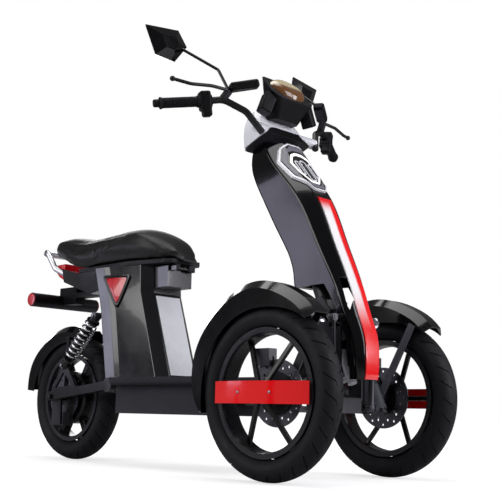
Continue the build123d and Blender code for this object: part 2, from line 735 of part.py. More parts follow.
def floorboard():
    outline = Polyline((floor_neck_front, -floor_neck), (floor_front, -floor_neck), (floor_front - 40, -floor_half_width),
                       (floor_rear + 40, -floor_half_width), (floor_rear, -floor_half_width + 40),
                       (floor_rear, floor_half_width - 40), (floor_rear + 40, floor_half_width),
                       (floor_front - 40, floor_half_width), (floor_front, floor_neck), (floor_neck_front, floor_neck),
                       close=True)
    board = Pos(0, 0, floor_top - floor_thickness) * extrude(
        fillet(make_face(outline).vertices(), 12), amount=floor_thickness)
    board = chamfer(board.faces().sort_by(Axis.Z)[0].edges(), 7)
    return board - parts["main_frame"]


parts["floorboard"] = floorboard()
cover = block((-880, -400), (-125, 125), (cover_bottom, floor_top - floor_thickness - seat_gap))
cover = cover - block((-872, -408), (-117, 117), (cover_bottom + 8, 400))
parts["underfloor_cover"] = cover - parts["main_frame"]


def tower_section(z, front, rear, half_front, half_rear, inset=0.0):
    """Flat front, bevel, long widening side and a raised band at the rear."""
    def side(y_sign):
        return [(front - inset, y_sign * (half_front - inset * 0.5)),
                (front - 32, y_sign * (half_front + 36 - inset)),
                (rear + 78, y_sign * (half_rear - 8 - inset)),
                (rear + 58, y_sign * (half_rear - inset)),
                (rear + inset, y_sign * (half_rear - inset))]
    return Plane.XY.offset(z) * rounded(side(1) + side(-1)[::-1], 6 - inset)


tower_top = 700.0
tower_stations = [
    (floor_top + seat_gap, -672, -944, 62, 130),
    (540, -752, -986, 60, 130),
    (600, -772, -1002, 60, 130),
    (tower_top, -778, -1036, 60, 128),
]


def tower_solid(inset):
    return loft([tower_section(*station, inset) for station in tower_stations], ruled=True)


def seat_tower():
    shell = tower_solid(0) - (tower_solid(wall) - block((-1200, -500), (-200, 200), (0, floor_top + 6)))
    shell = shell - block((-1100, -700), (-200, 200), (tower_top, 800))
    nose = block((-790, -706), (-56, 56), (620, 694)) - block((-790, -709), (-53, 53), (623, 700))
    nose = nose - tower_solid(0)
    pin = rod((seat_hinge[0], -48, seat_hinge[1]), (seat_hinge[0], 48, seat_hinge[1]), 5)
    lugs = [block((-709, -680), (y, y + 7), (676, 692)) for y in (-48, 41)]
    return joined(shell, nose, pin, *lugs) - parts["main_frame"]


parts["seat_tower"] = seat_tower()
parts["battery_pack"] = block((-925, -805), (-60, 60), (floor_top + 6 + seat_gap, 540))


def tower_front():
    line = [(-672 - 3.3, floor_top + 10), (-752, 540), (-768.7, 590)]
    outer = [(x + 4, z) for x, z in line]
    inner = [(x + 0.2, z) for x, z in reversed(line)]
    return side_plate(outer + inner, -54, 54)


parts["tower_front_panel"] = tower_front()


def side_reflector():
    return side_plate([(-1008, 640), (-930, 650), (-975, 552), (-1004, 586)], -133.5, -130.4)


def end_reflector():
    return rod((-1400, -152, 608), (-1400, -157, 608), 24)


pair = [side_reflector(), end_reflector()]
parts["reflectors"] = solids_of(*pair, *[mirrored(piece) for piece in pair])

# ---- tail ---------------------------------------------------------------------------
def tail_plan(z_low, z_high, shrink):
    outline = rounded([(-990, -104 + shrink), (-1186, -94 + shrink), (-1330, -72 + shrink), (-1470, -52 + shrink),
                       (-1470, 52 - shrink), (-1330, 72 - shrink), (-1186, 94 - shrink), (-990, 104 - shrink)], 4)
    return Pos(0, 0, z_low) * extrude(outline, amount=z_high - z_low)


tail = side_plate([(-990, 645), (-990, 699.7), (-1186, 699.7), (-1320, 731), (-1300, 676), (-1093, 614),
                   (-1040, 622)], -120, 120) & tail_plan(600, 760, 0)
parts["tail_fairing"] = tail - tower_solid(0)
parts["grab_rail"] = bent_tube([(-1300, -58, 704), (-1362, -76, 734), (-1412, -84, 806), (-1470, -50, 806),
                                (-1470, 50, 806), (-1412, 84, 806), (-1362, 76, 734), (-1300, 58, 704)],
                               [30, 24, 24, 24, 24, 30], 11) - parts["tail_fairing"]
light = side_plate([(-1320.4, 733), (-1319, 752), (-1406, 750), (-1354, 702), (-1300.4, 677)],
                   -60, 60) & tail_plan(600, 790, 6)
parts["tail_light"] = light - parts["grab_rail"] - parts["tail_fairing"]
plate_face = -1430.0
plate_hole_gap = 140.0
plate_hole_radius = 3.25
plate_hole_depth = 16.0
bar = rod((-1400, -151.7, 608), (-1400, 151.7, 608), 27)
neck = block((-1400, -1290), (-22, 22), (596, 664))
pad = block((plate_face, -1404), (-plate_hole_gap / 2 - 22, plate_hole_gap / 2 + 22), (588, 628))
carrier = joined(bar, neck, pad, block((-1290, -1140), (-22, 22), (620, 640)))
for side in (-1, 1):
    carrier = carrier - rod((plate_face - 1, side * plate_hole_gap / 2, 608),
                            (plate_face + plate_hole_depth, side * plate_hole_gap / 2, 608), plate_hole_radius)
parts["plate_carrier"] = carrier - parts["tail_fairing"]

# ---- rear suspension ----------------------------------------------------------------
axle_x = -wheelbase


def swingarm():
    body = rod((pivot_x, -swingarm_y - 14, pivot_z), (pivot_x, -97, pivot_z), 24)
    body = body + rod((pivot_x, 97, pivot_z), (pivot_x, swingarm_y + 14, pivot_z), 24)
    for side in (-1, 1):
        arm = side_plate([(pivot_x, pivot_z + 15), (pivot_x, pivot_z - 15), (axle_x - 26, rear_tyre_radius - 16),
                          (axle_x - 26, rear_tyre_radius + 16)], side * swingarm_y - 14, side * swingarm_y + 14)
        bracket = side_plate([(-1128, 262), (-1290, 250), (shock_foot[0] - 12, shock_foot[1] + 9),
                              (shock_foot[0] + 12, shock_foot[1] + 9)], side * swingarm_y - 4, side * swingarm_y + 4)
        bracket = bracket - side_plate([(-1160, 276), (-1262, 268), (-1218, 322), (-1208, 322)],
                                       side * swingarm_y - 6, side * swingarm_y + 6)
        body = joined(body, arm, bracket)
    axle = rod((axle_x, -swingarm_y - 24, rear_tyre_radius), (axle_x, swingarm_y + 24, rear_tyre_radius),
               rear_axle_radius)
    bridge = rod((-1020, -100, 262), (-1020, 100, 262), 12)
    spacers = [rod((axle_x, side * (rear_disc_face + disc_thickness + seat_gap), rear_tyre_radius),
                   (axle_x, side * (swingarm_y - 10), rear_tyre_radius), 15) for side in (-1, 1)]
    hanger = side_plate([(-1292, 232), (-1240, 236), (-1236, 132), (-1294, 132)], -104, -96.3)
    return joined(body, axle, bridge, *spacers, hanger)


parts["swingarm"] = swingarm()


def coil(side):
    top = Vector(shock_top[0], side * swingarm_y, shock_top[1])
    foot = Vector(shock_foot[0], side * swingarm_y, shock_foot[1])
    line = (foot - top).normalized()
    start = top + line * 33.8
    length = (foot - top).length - 77.6
    helix = Helix(pitch=length / spring_turns, height=length, radius=spring_radius - spring_wire / 2)
    section = Plane(origin=helix @ 0, z_dir=helix % 0) * Circle(spring_wire / 2)
    spring = sweep(section, path=helix)
    return Plane(origin=start, z_dir=line) * spring


def damper(side):
    top = Vector(shock_top[0], side * swingarm_y, shock_top[1])
    foot = Vector(shock_foot[0], side * swingarm_y, shock_foot[1])
    line = (foot - top).normalized()
    points = [top + line * d for d in (0, 29.5, 110, (foot - top).length - 39.5, (foot - top).length)]
    points = [(p.X, p.Y, p.Z) for p in points]
    eye_top = rod((top.X, side * (swingarm_y - 14), top.Z), (top.X, side * (swingarm_y + 14), top.Z), 13)
    eye_foot = rod((foot.X, side * (swingarm_y - 4), foot.Z), (foot.X, side * (swingarm_y + 14), foot.Z), 11)
    seats = [top + line * d for d in (25.5, 29.5, (foot - top).length - 39.5, (foot - top).length - 35.5)]
    seats = [(p.X, p.Y, p.Z) for p in seats]
    body = joined(rod(points[0], points[1], 18), rod(points[1], points[2], 13), rod(points[2], points[4], 8),
                  rod(points[3], points[4], 18), rod(seats[0], seats[1], spring_radius - 2),
                  rod(seats[2], seats[3], spring_radius - 2), eye_top, eye_foot)
    return body


springs = [coil(side) for side in (-1, 1)]
parts["rear_shock_springs"] = solids_of(*springs)
dampers = [damper(side) - parts["swingarm"] - parts["main_frame"] for side in (-1, 1)]
parts["shock_absorbers"] = solids_of(*dampers)


def rear_fender():
    arch = rear_wheel_place * fender(rear_fender_stations, 62)
    for side in (-1, 1):
        plate = side_plate([(-1240, 236), (-1216, 236), (-1222, 462), (-1238, 462)], side * 90 - 2, side * 90 + 2)
        foot = block((-1240, -1216), sorted((side * 88, side * (swingarm_y - 14 - seat_gap))), (236, 248))
        head = block((-1237, -1223), sorted((side * 60, side * 90)), (450, 458))
        arch = joined(arch, plate, foot, head)
    return arch


parts["rear_fender"] = rear_fender()
rear_caliper = block((-1300, -1230), (-96, -50), (128, 176)) - block((-1310, -1220), (-65.2, -58.8), (136, 200))
parts["rear_brake_caliper"] = rear_caliper

# ---- seat ---------------------------------------------------------------------------


def seat_slice(x, half, low, high):
    with BuildSketch(Plane(origin=(x, 0, 0), x_dir=(0, 1, 0), z_dir=(1, 0, 0))) as section:
        with BuildLine():
            Line((half - 12, low), (-half + 12, low))
            Line((-half + 12, low), (-half, low + 0.4 * (high - low)))
            Line((-half, low + 0.4 * (high - low)), (-half + 10, low + 0.8 * (high - low)))
            ThreePointArc((-half + 10, low + 0.8 * (high - low)), (0, high), (half - 10, low + 0.8 * (high - low)))
            Line((half - 10, low + 0.8 * (high - low)), (half, low + 0.4 * (high - low)))
            Line((half, low + 0.4 * (high - low)), (half - 12, low))
        make_face()
    return section.sketch


seat_low = seat_rest + 14.0
seat_stations = [
    (-1378, 58, 788, 820), (-1350, 92, 776, 844), (-1288, 118, 758, 852), (-1220, 128, 730, 845),
    (-1157, 130, seat_low, 833), (-1060, 126, seat_low, 832), (-980, 122, seat_low, 837),
    (-880, 124, seat_low, 841), (-810, 124, seat_low, 832), (-750, 116, seat_low, 803),
    (-700, 100, seat_low, 768), (-670, 88, seat_low, 742), (-652, 74, 702, 724), (-638, 52, 696, 710),
]
parts["seat_pad"] = loft([seat_slice(*station) for station in seat_stations])
base = Pos(0, 0, seat_rest) * extrude(rounded(
    [(-1176, -100), (-1176, 100), (-880, 112), (-700, 84), (-674, 64), (-674, -64), (-700, -84), (-880, -112)],
    10), amount=seat_low - seat_rest)
knuckles = [rod((seat_hinge[0], y, seat_hinge[1]), (seat_hinge[0], y + 18, seat_hinge[1]), 9) for y in (-40, 22)]
tabs = [block((seat_hinge[0] - 9, seat_hinge[0] + 9), (y, y + 18), (seat_hinge[1], seat_rest + 1)) for y in (-40, 22)]
pin_bore = rod((seat_hinge[0], -60, seat_hinge[1]), (seat_hinge[0], 60, seat_hinge[1]), 5 + running_gap)
parts["seat_base"] = joined(base, *knuckles, *tabs) - pin_bore - parts["seat_pad"]


# ---- store --------------------------------------------------------------------------
for name, shape in list(parts.items()):
    if name.startswith("right_") and name != "right_mirror":
        parts["left_" + name[6:]] = mirrored(shape)
for name, shape in parts.items():
    export_step(Pos(front_axle_x, 0, 0) * shape, f"parts/{name}.step")
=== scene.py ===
"""Looks of a tilting three-wheel electric scooter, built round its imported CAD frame."""
import math
import bmesh
import bpy
from mathutils import Matrix, Vector


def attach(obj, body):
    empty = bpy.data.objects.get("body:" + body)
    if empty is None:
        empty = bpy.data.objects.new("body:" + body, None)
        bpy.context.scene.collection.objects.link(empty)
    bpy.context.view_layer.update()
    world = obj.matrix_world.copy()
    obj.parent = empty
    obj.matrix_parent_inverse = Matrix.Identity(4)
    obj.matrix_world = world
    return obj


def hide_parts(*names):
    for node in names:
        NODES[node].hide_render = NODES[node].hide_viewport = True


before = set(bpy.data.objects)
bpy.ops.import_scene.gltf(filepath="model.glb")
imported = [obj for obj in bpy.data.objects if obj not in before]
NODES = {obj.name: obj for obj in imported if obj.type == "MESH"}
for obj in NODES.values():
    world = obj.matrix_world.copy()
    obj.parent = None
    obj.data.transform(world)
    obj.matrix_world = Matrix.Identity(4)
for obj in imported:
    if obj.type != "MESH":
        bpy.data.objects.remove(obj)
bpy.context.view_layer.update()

bl_info = {
    "name": "Tilting Scooter Looks",
    "version": (1, 0, 0),
    "blender": (4, 5, 0),
    "location": "View3D > Sidebar > Scooter",
    "description": "Models and finishes the visible pieces of a tilting three-wheel scooter",
    "category": "Object",
}

FRONT_AXLE_X = 0.655          # metres, like all lengths here
REAR_AXLE_X = -0.620
TRACK_HALF = 0.273
FRONT_RADIUS = 0.245
REAR_RADIUS = 0.234
SIDES = ((-1, "right"), (1, "left"))


# ---- sizes and colours that a user would change

def linear(hex_code):
    """sRGB hex to an opaque linear colour."""
    channels = [int(hex_code[i:i + 2], 16) / 255 for i in (0, 2, 4)]
    return tuple(c / 12.92 if c <= 0.04045 else ((c + 0.055) / 1.055) ** 2.4 for c in channels) + (1.0,)


class SCOOTER_PG_sizes(bpy.types.PropertyGroup):
    """Sizes of the pieces that are modelled here, in metres"""
    front_tyre_width: bpy.props.FloatProperty(
        name="Front tyre width", description="Width of each front tyre across its sidewalls",
        default=0.083, min=0.06, max=0.1, unit="LENGTH")
    rear_tyre_width: bpy.props.FloatProperty(
        name="Rear tyre width", description="Width of the rear tyre across its sidewalls",
        default=0.095, min=0.07, max=0.12, unit="LENGTH")
    groove_width: bpy.props.FloatProperty(
        name="Groove width", description="Width of a tread groove",
        default=0.0042, min=0.001, max=0.006, unit="LENGTH")
    groove_depth: bpy.props.FloatProperty(
        name="Groove depth", description="Depth of a tread groove",
        default=0.0042, min=0.0005, max=0.006, unit="LENGTH")
    tread_pitches: bpy.props.IntProperty(
        name="Tread pitches", description="Number of groove pairs round a tyre",
        default=30, min=12, max=60)
    cushion_cap: bpy.props.FloatProperty(
        name="Cushion swell", description="Furthest that the foam may swell from its cut shape",
        default=0.007, min=0.0, max=0.02, unit="LENGTH")
    rib_depth: bpy.props.FloatProperty(
        name="Grip rib depth", description="Depth of the ribs moulded into the hand grips",
        default=0.0012, min=0.0, max=0.003, unit="LENGTH")


class SCOOTER_PG_colours(bpy.types.PropertyGroup):
    """Colours of the finishes"""
    body_black: bpy.props.FloatVectorProperty(
        name="Body black", description="Gloss lacquer of the shield and fenders",
        size=4, subtype="COLOR", min=0, max=1, default=linear("050508"))
    signal_red: bpy.props.FloatVectorProperty(
        name="Signal red", description="Red of the stripe and wheel covers",
        size=4, subtype="COLOR", min=0, max=1, default=linear("F2000C"))
    # the stripe's white is a painted reflection on the red lacquer
    stripe_painted_reflection: bpy.props.FloatVectorProperty(
        name="Stripe white", description="White side of the stripe",
        size=4, subtype="COLOR", min=0, max=1, default=linear("FFFCFD"))
    silver: bpy.props.FloatVectorProperty(
        name="Silver", description="Silver lacquer of the yoke and tower front",
        size=4, subtype="COLOR", min=0, max=1, default=linear("EDEDF4"))
    rubber: bpy.props.FloatVectorProperty(
        name="Rubber", description="Rubber of the tyres and grips",
        size=4, subtype="COLOR", min=0, max=1, default=linear("131316"))
    vinyl: bpy.props.FloatVectorProperty(
        name="Vinyl", description="Cover of the seat cushion",
        size=4, subtype="COLOR", min=0, max=1, default=linear("08080A"))


# ---- small helpers -----------------------------

def add_node(material, kind, settings=None, links=None):
    """Adds a node; settings are its properties or input values, links its inputs' sources."""
    node = material.node_tree.nodes.new(kind)
    for name, value in (settings or {}).items():
        if isinstance(name, int) or name in node.inputs:
            node.inputs[name].default_value = value
        else:
            setattr(node, name, value)
    for name, source in (links or {}).items():
        material.node_tree.links.new(source, node.inputs[name])
    return node


def new_material(name):
    """Empty node material with its output; the shader is linked by close_material."""
    material = bpy.data.materials.new(name)
    material.use_nodes = True
    material.node_tree.nodes.clear()
    return material


def close_material(material, shader):
    add_node(material, "ShaderNodeOutputMaterial", links={"Surface": shader.outputs[0]})
    return material


def leave_edit_mode():
    if bpy.context.object is not None and bpy.context.object.mode != "OBJECT":
        bpy.ops.object.mode_set(mode="OBJECT")


def deselect_everything():
    leave_edit_mode()
    bpy.ops.object.select_all(action="DESELECT")


def make_active(piece):
    deselect_everything()
    piece.select_set(True)
    bpy.context.view_layer.objects.active = piece


def apply_place(piece):
    make_active(piece)
    bpy.ops.object.transform_apply(location=True, rotation=True, scale=True)


def edit_faces(piece, wanted):
    """Enters edit mode with just the faces selected for which wanted(face) holds."""
    make_active(piece)
    bpy.ops.object.mode_set(mode="EDIT")
    bpy.ops.mesh.select_mode(type="FACE")
    mesh = bmesh.from_edit_mesh(piece.data)
    for face in mesh.faces:
        face.select_set(bool(wanted(face)))
    mesh.select_flush_mode()
    bmesh.update_edit_mesh(piece.data)


def apply_modifier(piece, kind, **settings):
    make_active(piece)
    modifier = piece.modifiers.new(kind.title(), kind)
    for name, value in settings.items():
        setattr(modifier, name, value)
    bpy.ops.object.modifier_apply(modifier=modifier.name)


def tidy_mesh(piece):
    """Doubles merged, then normals turned outwards."""
    edit_faces(piece, lambda face: True)
    bpy.ops.mesh.remove_doubles(threshold=0.00002)
    bpy.ops.mesh.normals_make_consistent(inside=False)
    leave_edit_mode()


def finish_piece(piece, name, body, material, angle=32):
    """Names a piece, gives it its finish and lets it ride on its body."""
    piece.name = name
    piece.data.name = name
    piece.data.materials.clear()
    piece.data.materials.append(material)
    apply_place(piece)
    bpy.ops.object.shade_smooth_by_angle(angle=math.radians(angle))
    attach(piece, body)
    return piece


def own_copy(piece, name):
    twin = piece.copy()
    twin.data = piece.data.copy()
    twin.name = name
    twin.data.name = name
    bpy.context.collection.objects.link(twin)
    return twin


def joined_pieces(pieces):
    """One object from several, with the first one's name."""
    deselect_everything()
    for piece in pieces:
        piece.select_set(True)
    bpy.context.view_layer.objects.active = pieces[0]
    bpy.ops.object.join()
    return bpy.context.object


def rounded_outline(points, radius, steps=4):
    """A flat outline with its corners rounded by short chords."""
    edge_share = 0.45         # the most of an edge that the rounding at one end may take
    result = []
    for i, point in enumerate(points):
        here = Vector(point)
        back = Vector(points[i - 1]) - here
        ahead = Vector(points[(i + 1) % len(points)]) - here
        run = min(radius / math.tan(back.angle(ahead) / 2),
                  edge_share * back.length, edge_share * ahead.length)
        start, end = here + back.normalized() * run, here + ahead.normalized() * run
        for step in range(steps + 1):
            share = step / steps
            result.append(start.lerp(here, share).lerp(here.lerp(end, share), share))
    return result


def shrunk(points, share, centre):
    middle = Vector(centre)
    return [middle + (Vector(point) - middle) * share for point in points]


def plate(corners, outward, thickness, inner=None):
    """Plate with these corners, or a ring between them and as many inner ones, grown outwards."""
    widest_bevel, bevel_share = 0.0006, 0.35
    deselect_everything()
    bpy.ops.mesh.primitive_circle_add(vertices=len(corners), radius=0.01,
                                      fill_type="NOTHING" if inner else "NGON")
    piece = bpy.context.object
    if inner:
        bpy.ops.object.mode_set(mode="EDIT")
        bpy.ops.mesh.select_all(action="SELECT")
        bpy.ops.mesh.extrude_edges_move()
        leave_edit_mode()
    for vertex, corner in zip(piece.data.vertices, list(corners) + list(inner or [])):
        vertex.co = corner
    piece.data.update()
    facing = sum((polygon.normal * polygon.area for polygon in piece.data.polygons), Vector())
    side = 1.0 if facing.dot(Vector(outward)) > 0 else -1.0
    apply_modifier(piece, "SOLIDIFY", thickness=thickness, offset=side)
    tidy_mesh(piece)
    apply_modifier(piece, "BEVEL", width=min(widest_bevel, thickness * bevel_share), segments=2,
                   limit_method="ANGLE", angle_limit=math.radians(40))
    return piece


def surface_point(node, origin, direction):
    """Where a straight line from origin first meets a CAD node, and the node's normal there."""
    hit, place, normal, _ = NODES[node].ray_cast(Vector(origin), Vector(direction).normalized())
    if not hit:
        raise RuntimeError("nothing of %s lies that way from %s" % (node, tuple(origin)))
    return place, normal


def stand_along(piece, place, axis):
    """Turns a piece modelled along +Z to an axis, and moves it to a place."""
    turn = Vector(axis).to_track_quat("Z", "Y").to_matrix().to_4x4()
    piece.matrix_world = Matrix.Translation(place) @ turn
    apply_place(piece)
    return piece


# ---- finishes ----------------------------------

PLASTIC_IOR = 1.5
NOISE_BULK = (0.35, 0.7)          # where nearly all of a noise's values lie
EDGE_POINTINESS = (0.53, 0.62)    # from a nearly flat face to a sharp edge
PEEL_SCALE = 320.0                # orange peel of sprayed lacquer, bumps about 3 mm apart
SIDEWALL_RING = 0.004             # from one ring moulded in a tyre's sidewall to the next
STRIPE_REFLECTION_SIDE = (0.0, 0.013)        # across the stripe, from the painted white reflection to red
STRIPE_REFLECTION_TOP = (0.80, 0.845)        # up the stripe, from the painted white reflection to red
STRIPE_REFLECTION_FOOT = (0.43, 0.56)        # up the stripe, from red to the painted white reflection
PRISM_SCALE = 170.0               # prisms about 6 mm across
LEATHER_SCALE = 480.0             # leather grain of about 2 mm
SCREEN_REFLECTION_EDGE = (1.236, 1.246)   # up the screen, from the painted brown reflection to the painted pale one


def new_finish(name):
    """Empty material, and the places on a piece that its patterns follow."""
    material = new_material(name)
    return material, add_node(material, "ShaderNodeTexCoord").outputs["Object"]


def noise(material, place, scale, detail, roughness=0.5):
    """Noise with about that many features a metre."""
    return add_node(material, "ShaderNodeTexNoise",
                    {"Scale": scale, "Detail": detail, "Roughness": roughness},
                    {"Vector": place}).outputs["Fac"]


def mapped(material, source, span, result, **settings):
    """A value carried from one span to another, and held at its ends."""
    return add_node(material, "ShaderNodeMapRange",
                    {1: span[0], 2: span[1], 3: result[0], 4: result[1], **settings},
                    {0: source}).outputs[0]


def blend(material, share, first, second):
    """Colour that goes from the first to the second as the share goes from 0 to 1."""
    return add_node(material, "ShaderNodeMix", {"data_type": "RGBA", 6: first, 7: second},
                    {0: share}).outputs[2]


def shade(colour, share):
    """Colour made darker or lighter by a share."""
    return tuple(share * channel for channel in colour[:3]) + (1.0,)


def relief(material, height, depth):
    """Bump of that real depth, in metres."""
    return add_node(material, "ShaderNodeBump", {"Distance": depth}, {"Height": height}).outputs[0]


def grain(material, place, scale, depth, detail=3.0):
    """Fine noise as a bump of that real depth, at that many features a metre."""
    return relief(material, noise(material, place, scale, detail, roughness=0.6), depth)


def patchy(material, place, scale, rough):
    """Slow noise between two roughnesses, for handling marks and uneven polish."""
    return mapped(material, noise(material, place, scale, detail=6.0, roughness=0.65), NOISE_BULK, rough)


def worn_colour(material, base, worn, amount):
    """Colour that goes from base towards worn on exposed edges."""
    geometry = add_node(material, "ShaderNodeNewGeometry")
    edge = mapped(material, geometry.outputs["Pointiness"], EDGE_POINTINESS, (0.0, amount))
    return blend(material, edge, base, worn)


def close_finish(material, sheen, bump, inputs, tint=None):
    """Ends a finish in a Principled shader fed by a roughness, a bump and perhaps a colour."""
    links = {"Roughness": sheen, "Normal": bump}
    if tint is not None:
        links["Base Color"] = tint
    return close_material(material, add_node(material, "ShaderNodeBsdfPrincipled", inputs, links))


def lacquered_abs(name, colour, worn, rough=(0.10, 0.2), coat=0.35, level=0.25):
    """Injection-moulded ABS under clear lacquer: deep and wet-looking, with a faint orange peel."""
    material, place = new_finish(name)
    tint = worn_colour(material, colour, worn, 0.5)
    sheen = patchy(material, place, 9.0, rough)
    peel = grain(material, place, PEEL_SCALE, depth=0.000012)
    return close_finish(material, sheen, peel,
                        {"IOR": PLASTIC_IOR, "Specular IOR Level": level, "Coat Weight": coat,
                         "Coat Roughness": 0.04}, tint)


def textured_plastic(name, colour, worn, rough=(0.42, 0.6), depth=0.00006):
    """Spark-eroded black plastic: satin, with tiny pits about 1 mm apart, greyer on its edges."""
    material, place = new_finish(name)
    tint = worn_colour(material, colour, worn, 0.8)
    sheen = patchy(material, place, 14.0, rough)
    pits = grain(material, place, 1100.0, depth, detail=2.0)
    return close_finish(material, sheen, pits, {"IOR": PLASTIC_IOR, "Specular IOR Level": 0.13}, tint)


def powder_coat(name, colour, worn, rough=(0.32, 0.5)):
    """Powder-coated steel: a thick satin skin with a soft pebble of about 1.5 mm, thinner on edges."""
    material, place = new_finish(name)
    tint = worn_colour(material, colour, worn, 1.0)
    sheen = patchy(material, place, 20.0, rough)
    pebble = grain(material, place, 650.0, depth=0.00004, detail=1.0)
    return close_finish(material, sheen, pebble,
                        {"IOR": PLASTIC_IOR, "Specular IOR Level": 0.25, "Coat Weight": 0.12,
                         "Coat Roughness": 0.15}, tint)


def bare_metal(name, colour, rough, scratch_scale=(400.0, 30.0, 400.0), depth=0.00001):
    """Turned or drawn metal: bright, with fine tool marks drawn out along one direction."""
    material, place = new_finish(name)
    stretched = add_node(material, "ShaderNodeMapping", {"Scale": scratch_scale}, {"Vector": place})
    marks = noise(material, stretched.outputs[0], scale=1.0, detail=4.0)
    sheen = mapped(material, marks, (0.3, 0.7), rough)
    tint = blend(material, marks, colour, shade(colour, 0.8))
    return close_finish(material, sheen, relief(material, marks, depth), {"Metallic": 1.0}, tint)


def tyre_rubber(name, colour, centre):
    """Vulcanised rubber: dull black with greyer dusty patches, and fine rings on the sidewall."""
    material, place = new_finish(name)
    moved = add_node(material, "ShaderNodeMapping",
                     {"vector_type": "POINT", "Location": [-c for c in centre]}, {"Vector": place})
    flat = add_node(material, "ShaderNodeVectorMath", {"operation": "MULTIPLY", 1: (1.0, 0.0, 1.0)},
                    {0: moved.outputs[0]})
    radius = add_node(material, "ShaderNodeVectorMath", {"operation": "LENGTH"}, {0: flat.outputs[0]})
    wave = add_node(material, "ShaderNodeMath", {"operation": "MULTIPLY", 1: 2 * math.pi / SIDEWALL_RING},
                    {0: radius.outputs["Value"]})
    rings = add_node(material, "ShaderNodeMath", {"operation": "SINE"}, {0: wave.outputs[0]})
    pores = noise(material, place, scale=700.0, detail=2.0)
    height = add_node(material, "ShaderNodeMath", {"operation": "MULTIPLY_ADD", 1: 0.12},
                      {0: rings.outputs[0], 2: pores})
    bump = relief(material, height.outputs[0], depth=0.0002)
    dust = noise(material, place, scale=12.0, detail=8.0, roughness=0.7)
    tint = blend(material, dust, colour, shade(colour, 1.7))
    sheen = patchy(material, place, 16.0, (0.5, 0.72))
    return close_finish(material, sheen, bump, {"IOR": 1.52, "Specular IOR Level": 0.16}, tint)


def stripe_with_painted_reflection(name, red, white):
    """Red lacquered stripe with a painted white reflection on the rider's right; red on the left and at
    both ends, soft between.
    """
    material, place = new_finish(name)
    axes = add_node(material, "ShaderNodeSeparateXYZ", links={0: place}).outputs
    edge, top, foot = [
        mapped(material, axes[axis], span, result, interpolation_type="SMOOTHSTEP")
        for axis, span, result in (("Y", STRIPE_REFLECTION_SIDE, (0.0, 1.0)), ("Z", STRIPE_REFLECTION_TOP, (0.0, 1.0)),
                                   ("Z", STRIPE_REFLECTION_FOOT, (1.0, 0.0)))]
    ends = add_node(material, "ShaderNodeMath", {"operation": "MAXIMUM"}, {0: top, 1: foot})
    outside_reflection = add_node(material, "ShaderNodeMath", {"operation": "MAXIMUM"}, {0: ends.outputs[0], 1: edge})
    # white where the painted reflection lies, red elsewhere
    tint = blend(material, outside_reflection.outputs[0], white, red)
    sheen = patchy(material, place, 12.0, (0.12, 0.22))
    peel = grain(material, place, PEEL_SCALE, depth=0.00001)
    return close_finish(material, sheen, peel,
                        {"IOR": PLASTIC_IOR, "Coat Weight": 1.0, "Coat Roughness": 0.04}, tint)


def prismatic_red(name, colour, glow):
    """Moulded acrylic reflector: red, with a grid of prisms about 6 mm across behind a smooth face; painted
    shade darkens each prism towards its edges, and a reflector's emission is a painted glow.
    """
    material, place = new_finish(name)
    cell_relief_and_shade = add_node(material, "ShaderNodeTexVoronoi", {"Scale": PRISM_SCALE, "Randomness": 0.0},
                     {"Vector": place}).outputs["Distance"]
    # darker towards each prism's edges: painted shade between the prisms
    tint = blend(material, cell_relief_and_shade, colour, shade(colour, 0.35))
    bump = relief(material, cell_relief_and_shade, depth=0.0008)
    sheen = patchy(material, place, 25.0, (0.1, 0.25))
    # the emission is a painted glow on the reflectors, which hold no lamp; on the tail light it is lamp
    # light
    return close_finish(material, sheen, bump,
                        {"IOR": 1.49, "Coat Weight": 1.0, "Coat Roughness": 0.03,
                         "Emission Color": colour, "Emission Strength": glow}, tint)


def screen_with_painted_reflection(name, bright, dim):
    """Instrument window under a hard clear coat, with a painted reflection: pale in its upper half, brown
    below.
    """
    material, place = new_finish(name)
    axes = add_node(material, "ShaderNodeSeparateXYZ", links={0: place}).outputs
    # pale above and brown below: a painted reflection
    upper = mapped(material, axes["Z"], SCREEN_REFLECTION_EDGE, (0.0, 1.0))
    tint = blend(material, upper, dim, bright)
    sheen = patchy(material, place, 20.0, (0.1, 0.2))
    wave = grain(material, place, 60.0, depth=0.00003, detail=1.0)
    return close_finish(material, sheen, wave,
                        {"IOR": PLASTIC_IOR, "Coat Weight": 0.6, "Coat Roughness": 0.03}, tint)


def grained_vinyl(name, colour):
    """Calendered vinyl on foam: satin leather grain of about 2 mm with painted shade in its creases,
    shinier where it is sat on.
    """
    material, place = new_finish(name)
    cell_relief_and_shade = add_node(material, "ShaderNodeTexVoronoi",
                     {"Scale": LEATHER_SCALE, "feature": "DISTANCE_TO_EDGE"}, {"Vector": place})
    crease_relief_and_shade = mapped(material, cell_relief_and_shade.outputs["Distance"], (0.0, 0.12), (0.0, 1.0))
    bump = relief(material, crease_relief_and_shade, depth=0.00012)
    sheen = patchy(material, place, 7.0, (0.34, 0.52))
    # darker in the grain's creases: painted shade
    tint = blend(material, crease_relief_and_shade, shade(colour, 0.6), colour)
    return close_finish(material, sheen, bump,
                        {"IOR": PLASTIC_IOR, "Specular IOR Level": 0.3, "Coat Weight": 0.1,
                         "Coat Roughness": 0.25}, tint)


def glowing_plastic(name, colour, strength):
    """Opal light guide of the daytime lamp: milky white, softly lit from inside."""
    material, place = new_finish(name)
    sheen = patchy(material, place, 30.0, (0.15, 0.3))
    wave = grain(material, place, 400.0, depth=0.00002)
    return close_finish(material, sheen, wave,
                        {"Base Color": colour, "IOR": PLASTIC_IOR,
                         "Emission Color": colour, "Emission Strength": strength})


FINISH = {}


